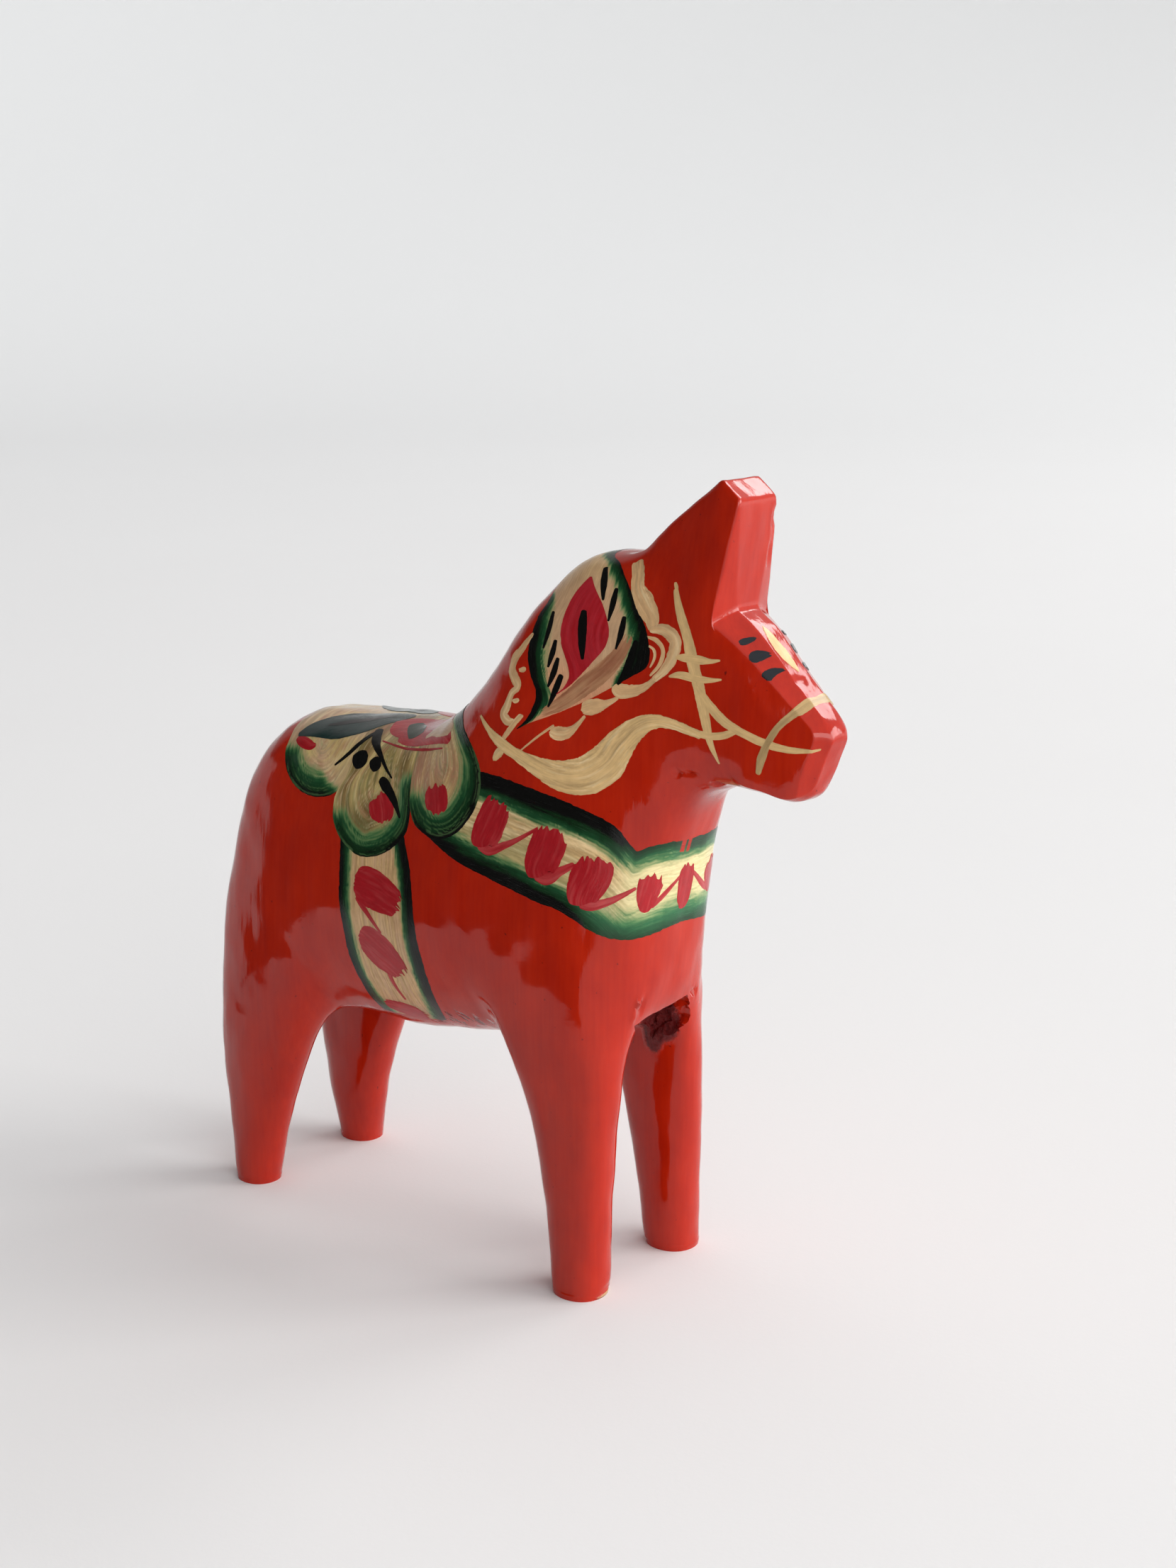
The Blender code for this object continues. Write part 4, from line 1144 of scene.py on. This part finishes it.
MANE_BACK = [
    (28.5, -0.3, 115), (27.8, 4, 113.2), (27, 7.5, 110), (25.6, 9, 107.5), (25.4, 10.5, 104.5),
    (25.6, 11.5, 102), (26.8, 12.5, 99.2), (28.6, 13.3, 96.5), (28.4, 13.7, 94.2), (27.4, 14.3, 92.2),
    (25.9, 14.8, 90.7),
]
MANE_FRONT = [
    (35.4, -0.3, 118), (36.5, 3.5, 117.2), (39, 5.2, 116.3), (41, 6.5, 114.5), (43, 7.5, 112.2),
    (44.6, 8, 110), (46, 8.5, 108), (47, 8.7, 105.8), (47.5, 9, 103.4), (46.8, 9.4, 101.8),
    (44.6, 9.9, 100.4), (42, 10.6, 98.8), (39, 11.5, 97), (36, 12.2, 95.4), (33.3, 13, 94.1),
    (30.3, 13.7, 92.8), (28, 14.2, 91.8), (26.2, 14.8, 90.8),
]
MANE_HEART_BACK = [
    (34.5, 6.8, 114.3), (32.4, 8, 111.5), (31.4, 9.2, 109), (31, 10, 106.5), (31.6, 10.6, 104),
    (32.6, 11, 102.4), (33.6, 11.5, 100.8), (34, 11.7, 99.4), (33.4, 12, 97.8), (31.6, 12.6, 96.2),
]
MANE_HEART_FRONT = [
    (34.6, 6.8, 114.3), (36.2, 7.8, 112.6), (38, 8.4, 110.6), (39.3, 8.9, 108.5), (40.1, 9.4, 106.4),
    (39.9, 9.7, 104.8), (39, 10.2, 103.3), (37.4, 10.8, 101.5), (35.8, 11.5, 99.6), (34, 12.1, 97.8),
    (31.7, 12.6, 96.2),
]
MANE_SLIT = [(35, 9, 109.6, 1.1), (35.1, 9.6, 107.4, 2), (35.5, 10.4, 104.6, 1.7), (36, 11, 102, 0.5)]
MANE_DASHES = [
    [(36.5, 5.9, 116, 1), (37.3, 7.4, 113.6, 1.5), (38, 8.5, 111, 0.4)],
    [(39.8, 7.3, 113.2, 0.8), (39.7, 8.2, 110.8, 1.4), (39.4, 9, 108, 0.4)],
    [(42.1, 8.4, 109.3, 0.9), (42, 9, 106.8, 1.4), (41.4, 9.6, 104, 0.4)],
    [(44.8, 8.9, 106, 0.9), (44.2, 9.4, 103, 1.7), (43.5, 10, 101, 1.3), (42.4, 10.5, 98.9, 0.4)],
    [(29.1, 8.9, 108.7, 0.8), (28.9, 10.2, 106, 1.3), (28.5, 11.4, 103, 0.4)],
    [(30.6, 10.4, 104.7, 0.8), (30.4, 11.3, 102.6, 1.3), (30, 12, 100.3, 0.4)],
    [(31.6, 11.3, 102.2, 0.8), (31.2, 12, 99.8, 1.4), (30.5, 12.6, 97.4, 0.4)],
    [(32.7, 11.8, 99.8, 1.2), (32, 12.5, 97.4, 1.4), (31, 13.1, 94.4, 0.4)],
]
PEACH_ARC = [
    (43.6, 9, 106.8, 1.4), (42.4, 9.7, 104, 2.6), (40, 10.6, 101, 3.4), (37, 11.5, 98.4, 3.4),
    (33.6, 12.5, 95.6, 2.6), (29.4, 13.8, 93.2, 1),
]
SCROLL_FRONT = [
    [
        (42, 4.8, 117.2, 2.2), (43, 6.2, 115.4, 2.4), (43.6, 7, 113.2, 2.7), (45.4, 7.6, 111, 3.6),
        (46.8, 8, 109.2, 2.8), (47.2, 8.5, 107.4, 1.4),
    ],
    [
        (46.6, 8.5, 107.6, 0.9), (49.2, 8.1, 107.8, 2), (51.3, 8, 106.4, 2.3), (51.1, 8.5, 104, 2.1),
        (50, 9, 102, 1.6), (48.2, 9.4, 100.2, 1),
    ],
    [
        (49, 9.2, 100.9, 0.8), (47, 9.8, 99.2, 1.2), (45, 10.1, 98.4, 2), (43, 10.5, 98.2, 2.5),
        (41.6, 10.8, 98.8, 1),
    ],
    [
        (46.2, 8.8, 106.6, 0.4), (48.2, 8.7, 106.2, 0.9), (49.5, 8.8, 104.8, 0.9), (49.2, 9.1, 102.8, 0.8),
        (47.6, 9.5, 100.8, 0.4),
    ],
    [(46.6, 8.9, 105.4, 0.3), (47.9, 8.9, 104.8, 0.6), (48.2, 9.1, 103.6, 0.6), (47.5, 9.4, 102, 0.3)],
    [(44.4, 7.4, 113.4, 0.6), (46, 7.3, 112.4, 1.2), (46.6, 7.5, 111, 0.6)],
]
LOW_DABS = [
    [
        (36.6, 12.1, 94.6, 1.2), (38, 11.8, 95.2, 2.6), (39.6, 11.3, 95.6, 2.4), (41.2, 10.9, 96.2, 1.1),
        (42.8, 10.4, 97.2, 0.5),
    ],
    [
        (31.7, 13.6, 91.2, 1.2), (33.2, 13.6, 90.9, 2.4), (34.8, 13.2, 91.1, 2), (36.2, 12.7, 92.2, 1),
        (37.6, 12, 94, 0.5),
    ],
    [(32.6, 13.4, 92.1, 0.5), (30, 14.4, 90, 0.45), (27, 15.2, 87.4, 0.3)],
]
SCROLL_BACK = [
    [
        (26, 10.2, 105.2, 0.7), (24.4, 11, 103, 1.5), (23.2, 11.6, 101, 1.7), (22.9, 12.3, 99.4, 1.9),
        (24, 12.8, 98.1, 1.9), (25, 12.9, 97, 1.5), (23.9, 13.4, 95.8, 1.4), (23.4, 14, 94.1, 1.8),
        (22.9, 14.4, 92.6, 1.9), (24.2, 14.5, 91.7, 1.6), (25.4, 14.3, 92, 0.6),
    ],
    [(23.4, 11.2, 102.8, 0.4), (22.6, 11.6, 101.6, 1.1), (22.2, 12, 100.4, 0.5)],
    [(24.2, 12.4, 99.4, 0.4), (25.4, 12.2, 99.6, 1.1), (26, 12.1, 99.8, 0.4)],
    [(24.2, 13.8, 94.8, 0.4), (25.2, 13.6, 94.9, 1), (25.8, 13.5, 95.2, 0.4)],
    [(26.8, 14, 93.2, 1), (25, 14.8, 91, 1.2), (23.4, 15.4, 88.8, 1)],
]
REIN = [
    (17.3, 13.6, 91.8, 0.3), (20, 15, 90, 1), (23, 15.5, 88.4, 1.8), (27, 15.6, 86.8, 2),
    (31, 15, 85.4, 3.3), (34.6, 14.2, 84.6, 4.9), (38.2, 13, 84.9, 6), (41.4, 12, 87, 6.2),
    (43.6, 11.1, 90.2, 5), (46.2, 10.1, 93, 3.4), (49, 9.5, 94.2, 2.2), (52, 8.9, 94, 1.6),
    (56.6, 8, 92.8, 1.2),
]
REIN_SPUR = [(24.4, 15.6, 87.9, 0.6), (23, 15.8, 86.8, 1.8), (22, 16, 85.2, 0.6)]


# How wide the mane panel's black and green are along each edge: (progress, width), from the poll down.
FRONT_BLACK = [(0, 0.4), (0.25, 0.6), (0.4, 1.3), (0.48, 2.4), (0.54, 1.8), (0.6, 0.6), (0.68, -1.5)]
FRONT_GREEN = [(0, 1.9), (0.4, 2), (0.5, 1.4), (0.6, 0.8), (0.66, 0.1)]
BACK_BLACK = [(0, -2.5), (0.22, -1.5), (0.3, 0.3), (0.45, 1.6), (0.6, 1.8), (0.8, 1.2), (1, 0.5)]
BACK_GREEN = [(0, 0.1), (0.22, 0.4), (0.35, 2.2), (0.6, 2), (0.8, 1.4), (1, 0.3)]


def mane_panel(turn, seed):
    """The cream field on the neck, black and green along its edges, with the peach arc across its foot."""
    field = panel(turn(MANE_BACK), turn(MANE_FRONT), seed, 0, 0.06)
    down = field.progress
    inner = mix(CREAM, TAN, soft(down / 0.3) * 0.8)
    inner = mix(inner, PEACH, soft((down - 0.45) / 0.3) * 0.8)
    inner = mix(inner, BROWN, np.clip(0.25 + 0.45 * field.streak, 0, 1) * 0.5)
    front = [np.interp(down, *zip(*widths)) for widths in (FRONT_BLACK, FRONT_GREEN)]
    back = [np.interp(down, *zip(*widths)) for widths in (BACK_BLACK, BACK_GREEN)]
    colour = edged(field, field.from_other, *front, inner, 1)
    colour = edged(field, field.from_edge, *back, colour, 2)
    arc = stroke(turn(PEACH_ARC), seed + 2, 1, 0.08, dry_start=1.5, dry_end=2)
    tone = mix(ARC_BROWN, ARC_PEACH, 0.35 + 0.6 * arc.streak)
    tone = mix(tone, ARC_LINE, np.clip(0.8 * arc.marks(6, 0.16, 13) - 0.25, 0, 0.5))
    return [field.coat(colour, 1.1), arc.coat(tone, 0.9, BROWN)]


def mane_flower(turn, seed):
    """The crimson flower on the mane, its black slit, and the black dashes round it."""
    heart = panel(turn(MANE_HEART_BACK), turn(MANE_HEART_FRONT), seed + 4, 2)
    top = soft((0.16 - heart.progress) / 0.16)
    tone = mix(CRIMSON, ROSE, 0.3 + 0.4 * heart.streak - 0.2 * heart.progress)
    marks = [stroke(turn(MANE_SLIT), seed + 5, 4)]
    marks += [stroke(turn(rows), seed + 6 + number, 3) for number, rows in enumerate(MANE_DASHES)]
    return [heart.coat(tone, 1.12 - 0.35 * top, TAN)] + [film.coat(BLACK, 1.2, TAN) for film in marks]


def scroll(rows, seed, load, shade, layer=1, **dry):
    """A cream stroke that the bristles leave darker and paler in lines."""
    film = stroke(rows, seed + 20, layer, 0.1, **dry)
    fine = film.marks(6, 0.17, 12)
    tone = mix(shade, np.array(shade) * 0.5, 0.1 + 0.6 * film.streak + 0.5 * fine)
    tone = mix(tone, PALE_CREAM, np.clip(-0.2 + 0.8 * fine - 0.6 * film.streak, 0, 0.8))
    return film.coat(tone, load + 0.15 * film.streak)


def mane():
    """The mane panels with their flower and dashes, and the cream scrolls and reins beside them."""
    for side, turn in SIDES:
        seed = MANE_SEEDS[side]
        add_piece(f"mane_panel_{side}", mane_panel(turn, seed), "cream_paint")
        add_piece(f"mane_flower_{side}", mane_flower(turn, seed), "crimson_paint")
        for name, strands, first, load in (
            ("front", SCROLL_FRONT + LOW_DABS, seed, 1.1), ("back", SCROLL_BACK, seed + 10, 1.05),
        ):
            films = [
                scroll(turn(rows), first + number, load, SCROLL_CREAM, dry_start=0.3)
                for number, rows in enumerate(strands)
            ]
            add_piece(f"mane_scroll_{name}_{side}", films, "cream_paint")
        spur = scroll(turn(REIN_SPUR), seed + 15, 1.0, CREAM, 2, dry_end=0.4)
        rein = scroll(turn(REIN), seed + 16, 1.0, CREAM, 3)
        add_piece(f"rein_{side}", [spur, rein], "cream_paint")


CHEEK_STRAP = [
    (50.4, 6.9, 114, 0.9), (51, 7.3, 112.2, 1.3), (52, 7.6, 110, 1.7), (53.4, 7.9, 107, 1.8),
    (54.4, 8, 104, 2.2), (55.5, 8, 101, 2.1), (56.4, 8, 98, 2), (57.2, 8, 94.8, 1.7),
    (57.9, 7.8, 91.6, 1.1), (59.2, 7.5, 88.6, 0.25),
]
STRAP_TOP = [(50.1, 6.7, 114.9, 0.5), (50.5, 7, 114.2, 0.9), (50.7, 7.1, 113.4, 0.5)]
CHEEK_CROSSES = [
    [
        (51.5, 8.5, 104, 0.3), (53, 8.3, 104.1, 1.3), (55.5, 8, 104, 1.5), (57.6, 7.9, 104, 0.8),
        (59.2, 7.6, 104.3, 0.3),
    ],
    [
        (50.8, 9, 101.1, 0.3), (52.6, 8.6, 101.5, 1.2), (55.4, 8, 101.2, 1.4), (57.6, 7.9, 101.2, 0.9),
        (59.6, 7.6, 101.5, 0.3),
    ],
]
BRIDLE = [
    (55.4, 8, 100.2, 0.8), (57.8, 8, 97.4, 1.6), (60.4, 7.5, 95.2, 1.6), (63.3, 7, 93.9, 1.4),
    (66, 6.5, 92.9, 1.4), (69, 5.6, 92.2, 1.2), (72, 4.4, 92.1, 0.8), (74.2, 2.9, 92.4, 0.25),
]
LINK = [
    (53, 8.6, 93.5, 0.8), (55.6, 8.2, 93.1, 1.2), (58, 7.9, 92.9, 1.3), (60.2, 7.6, 93.3, 1.3),
    (62.4, 7.3, 94.3, 0.9),
]
NOSE_BAND = [
    (65.4, 6.5, 87.8, 0.8), (66, 6.4, 90.4, 1.4), (67, 6.1, 93, 1.2), (68.4, 5.6, 95.4, 1.1),
    (70.2, 4.6, 97.3, 1.3), (70.9, 3.6, 98, 1.8), (71.3, 1.8, 98.7, 1.8), (71.6, 0, 99, 1.4),
]
FOREHEAD_MARK = [
    (61.6, -0.5, 108.9, 0.4), (63.6, -0.5, 107, 2), (65.6, -0.2, 105, 2.5), (68, 0.4, 102.6, 0.4),
]
LEFT_EYE_SHIFT = 0.8
EYE_DABS = [
    [(61, 5.6, 106.6, 0.8), (61.8, 4.6, 107.2, 1.3), (62.8, 3.2, 107.7, 0.5)],
    [(63, 5.6, 104.4, 0.9), (63.6, 4.9, 105, 2), (64.5, 3.8, 105.4, 1.6), (65.3, 2.8, 105.4, 0.4)],
    [(65.7, 5.5, 101.8, 0.9), (65.9, 5, 102.5, 1.8), (66.5, 3.8, 103.2, 1.2), (67.4, 2.2, 103.4, 0.3)],
]


def strap(rows, seed, layer):
    """A cream stroke of the bridle."""
    film = stroke(rows, seed, layer)
    tone = mix(CREAM, np.array(CREAM) * 0.7, 0.1 + 0.5 * film.streak)
    return film.coat(tone, 1.05 + 0.1 * film.streak)


def bridle():
    """The cream straps on the head, and the black dabs over the eyes."""
    for side, turn in SIDES:
        seed = BRIDLE_SEEDS[side]
        cheek = [strap(turn(STRAP_TOP), seed + 1, 1), strap(turn(CHEEK_STRAP), seed + 2, 2)]
        add_piece(f"cheek_strap_{side}", cheek, "cream_paint")
        for number, rows in enumerate(CHEEK_CROSSES, 1):
            cross = strap(turn(rows), seed + 3 + number, 3)
            add_piece(f"cheek_cross_{number}_{side}", [cross], "cream_paint")
        links = [strap(turn(LINK), seed + 7, 3), strap(turn(BRIDLE), seed + 8, 4)]
        add_piece(f"bridle_{side}", links, "cream_paint")
        for number, rows in enumerate(EYE_DABS, 1):
            rows = [(x, y + LEFT_EYE_SHIFT * (side == "left"), z, width) for x, y, z, width in rows]
            dab = stroke(turn(rows), seed + 10 + number, 4, 0.09, dry_start=0.2, dry_end=0.4)
            add_piece(f"eye_stroke_{number}_{side}", [dab.coat(EYE_BLACK, 1.15)], "black_paint")
    band = stroke(NOSE_BAND + mirrored(NOSE_BAND)[-2::-1], NOSE_SEED, 5, 0.06)
    tone = mix(np.array(CREAM) * 0.75, np.array(CREAM) * 0.45, 0.2 + 0.7 * band.streak)
    add_piece("nose_band", [band.coat(tone, 1.1)], "cream_paint")
    mark = stroke(FOREHEAD_MARK, FOREHEAD_SEED, 2, 0.07, dry_start=0.6, dry_end=0.8)
    add_piece("forehead_mark", [mark.coat(CREAM, 0.95)], "cream_paint")


breast_band()
breast_marks()
girth_band()
saddle()
mane()
bridle()

into_frame(BODY.data)
BODY.data.shade_smooth()
BODY.data.set_sharp_from_angle(angle=SHARP_ANGLE)
BODY.data.materials.append(enamel())
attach(BODY, "root")
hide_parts("carved_body")

# ---------------------------------------------------------------- studio

FLOOR_RADIUS = 1.6
SWEEP_RADIUS = 2.4
SWEEP_TURN = math.radians(46)
SWEEP_STEPS = 16
ROUND_STEPS = 96
TARGET = (0, 0, 0.06)
NEAR_PAPER = [(0.82, 0.805, 0.80, 1), (0.84, 0.83, 0.825, 1)]
# The far paper is paler as painted light on the far sweep; it fades in between these distances in metres.
FAR_PAPER_PAINTED_LIGHT = (0.93, 0.925, 0.92, 1)
PAINTED_LIGHT_FADE = (0.5, 2.2)


def studio_paper():
    """Pale matt paper with a faint tooth, paler further out as painted light on the far sweep."""
    wiring = new_wiring("studio_paper")
    place = wiring.add("TexCoord", {}, 3)
    tooth = wiring.noise(place, (900, 900, 900), 2)
    patches = wiring.noise(place, (6, 6, 6), 2)
    near = wiring.blend(patches, *NEAR_PAPER)
    # Paler further out: painted light on the far sweep.
    far = wiring.spread(wiring.add("VectorMath", {0: place}, 1, operation="LENGTH"), *PAINTED_LIGHT_FADE)
    wiring.feed(wiring.shader, "Base Color", wiring.blend(far, near, FAR_PAPER_PAINTED_LIGHT))
    wiring.shader.inputs["Roughness"].default_value = 0.85
    wiring.shader.inputs["Specular IOR Level"].default_value = 0.2
    wiring.feed(wiring.shader, "Normal", wiring.add("Bump", {"Height": tooth, "Distance": 0.00002}))
    return wiring.owner


def build_sweep():
    """A pale floor that curves up gently all round."""
    profile = [(FLOOR_RADIUS / 8, 0), (FLOOR_RADIUS / 4, 0), (FLOOR_RADIUS / 2, 0), (FLOOR_RADIUS, 0)]
    for i in range(1, SWEEP_STEPS + 1):
        turn = SWEEP_TURN * i / SWEEP_STEPS
        profile.append((FLOOR_RADIUS + SWEEP_RADIUS * math.sin(turn), SWEEP_RADIUS * (1 - math.cos(turn))))
    shape = bmesh.new()
    rings = []
    turns = [2 * math.pi * i / ROUND_STEPS for i in range(ROUND_STEPS)]
    for reach, height in profile:
        rings.append([shape.verts.new((reach * math.cos(t), reach * math.sin(t), height)) for t in turns])
    centre = shape.verts.new((0, 0, 0))
    for i in range(ROUND_STEPS):
        shape.faces.new((centre, rings[0][i], rings[0][(i + 1) % ROUND_STEPS]))
    for low, high in zip(rings, rings[1:]):
        for i in range(ROUND_STEPS):
            after = (i + 1) % ROUND_STEPS
            shape.faces.new((low[i], high[i], high[after], low[after]))
    floor = placed("studio_floor", mesh_of("studio_floor", shape))
    floor.data.shade_smooth()
    floor.data.materials.append(studio_paper())


CARD_REACH = 0.18
CARD_HEIGHT = 0.3
CARD_FROM = math.radians(205)
CARD_TO = math.radians(298)
CARD_STEPS = 24


def black_card():
    """A curved black card that only the gloss of the horse's right side sees."""
    shape = bmesh.new()
    turns = [CARD_FROM + (CARD_TO - CARD_FROM) * i / CARD_STEPS for i in range(CARD_STEPS + 1)]
    low, high = (
        [shape.verts.new((CARD_REACH * math.cos(t), CARD_REACH * math.sin(t), z)) for t in turns]
        for z in (0, CARD_HEIGHT)
    )
    for i in range(CARD_STEPS):
        shape.faces.new((low[i], high[i], high[i + 1], low[i + 1]))
    card = placed("black_card", mesh_of("black_card", shape))
    wiring = new_wiring("black_card")
    wiring.shader.inputs["Base Color"].default_value = (0.015, 0.015, 0.016, 1)
    wiring.shader.inputs["Roughness"].default_value = 0.9
    card.data.materials.append(wiring.owner)
    card.visible_camera = False
    card.visible_diffuse = False
    card.visible_shadow = False


WHITE = (1, 1, 1)
WARM_WHITE = (1, 0.985, 0.97)
# Each light's name, direction, distance, size, radiance and tint.
SOFTBOXES = [
    ("key_softbox", (0.798, 0.518, 0.31), 2.8, (1.9, 1.5), 7.0, WARM_WHITE),
    ("front_softbox", (0.93, -0.25, 0.27), 2.8, (2.4, 1.2), 4.0, WARM_WHITE),
    ("back_softbox", (0.17, 0.755, 0.635), 2.6, (0.95, 0.4), 7.5, WHITE),
]


def softbox(name, direction, distance, size, radiance, tint):
    """A rectangular soft light that faces the horse from a direction."""
    lamp = bpy.data.lights.new(name, "AREA")
    lamp.shape = "RECTANGLE"
    lamp.size, lamp.size_y = size
    lamp.energy = radiance * math.pi * size[0] * size[1]
    lamp.color = tint
    held = placed(name, lamp)
    direction = Vector(direction).normalized()
    held.location = Vector(TARGET) + direction * distance
    held.rotation_euler = (-direction).to_track_quat("-Z", "Y").to_euler()
    held.visible_camera = False


PALE_SIDE = (0.8, 0.0, 0.6)
DARK_SIDE = (-0.47, -0.81, 0.26)
SIDE_AIR = 0.52
PALE_AIR = 0.86
DARK_AIR = 0.11
WARM_AIR = (1, 0.93, 0.915, 1)
COOL_AIR = (0.95, 0.98, 1, 1)


def studio_air():
    """Soft light from all round, brighter on the window's side, and dark beyond the horse's right side."""
    world = bpy.data.worlds.new("studio_air")
    wiring = Wiring(world, "Background")
    heading = wiring.add("TexCoord", {})

    def fade(side, *ends):
        """A smooth change over the sky from away from a side to towards it."""
        inputs = {0: heading, 1: Vector(side).normalized()}
        toward = wiring.add("VectorMath", inputs, 1, operation="DOT_PRODUCT")
        return wiring.spread(toward, *ends, interpolation_type="SMOOTHSTEP")

    pale, dark = fade(PALE_SIDE, -0.7, 0.7, SIDE_AIR, PALE_AIR), fade(DARK_SIDE, 0.4, 0.7, 1, DARK_AIR)
    wiring.feed(wiring.shader, "Strength", wiring.add("Math", {0: pale, 1: dark}, operation="MULTIPLY"))
    wiring.feed(wiring.shader, "Color", wiring.blend(fade(PALE_SIDE, -0.6, 0.6), WARM_AIR, COOL_AIR))
    bpy.context.scene.world = world


build_sweep()
black_card()
for box in SOFTBOXES:
    softbox(*box)
studio_air()
bpy.context.scene.view_settings.view_transform = "Standard"
bpy.context.scene.view_settings.look = "None"

# ---------------------------------------------------------------- camera

CAMERA_PLACE = (254.67, -277.77, 165.38)
CAMERA_HEADING = math.radians(39.16)
CAMERA_TILT = math.radians(90 - 13.44)
CAMERA_ROLL = math.radians(0.153)
LENS = 53.43
SENSOR = 36

lens = bpy.data.cameras.new("camera")
lens.lens = LENS
lens.sensor_width = SENSOR
camera = placed("camera", lens)
heading = Matrix.Rotation(CAMERA_HEADING, 4, "Z")
tilt = Matrix.Rotation(CAMERA_TILT, 4, "X")
roll = Matrix.Rotation(CAMERA_ROLL, 4, "Z")
place = Vector(CAMERA_PLACE) + Vector((MOVE_X, 0, 0))
camera.matrix_world = Matrix.Translation(place * MM) @ (heading @ tilt @ roll)
bpy.context.scene.camera = camera
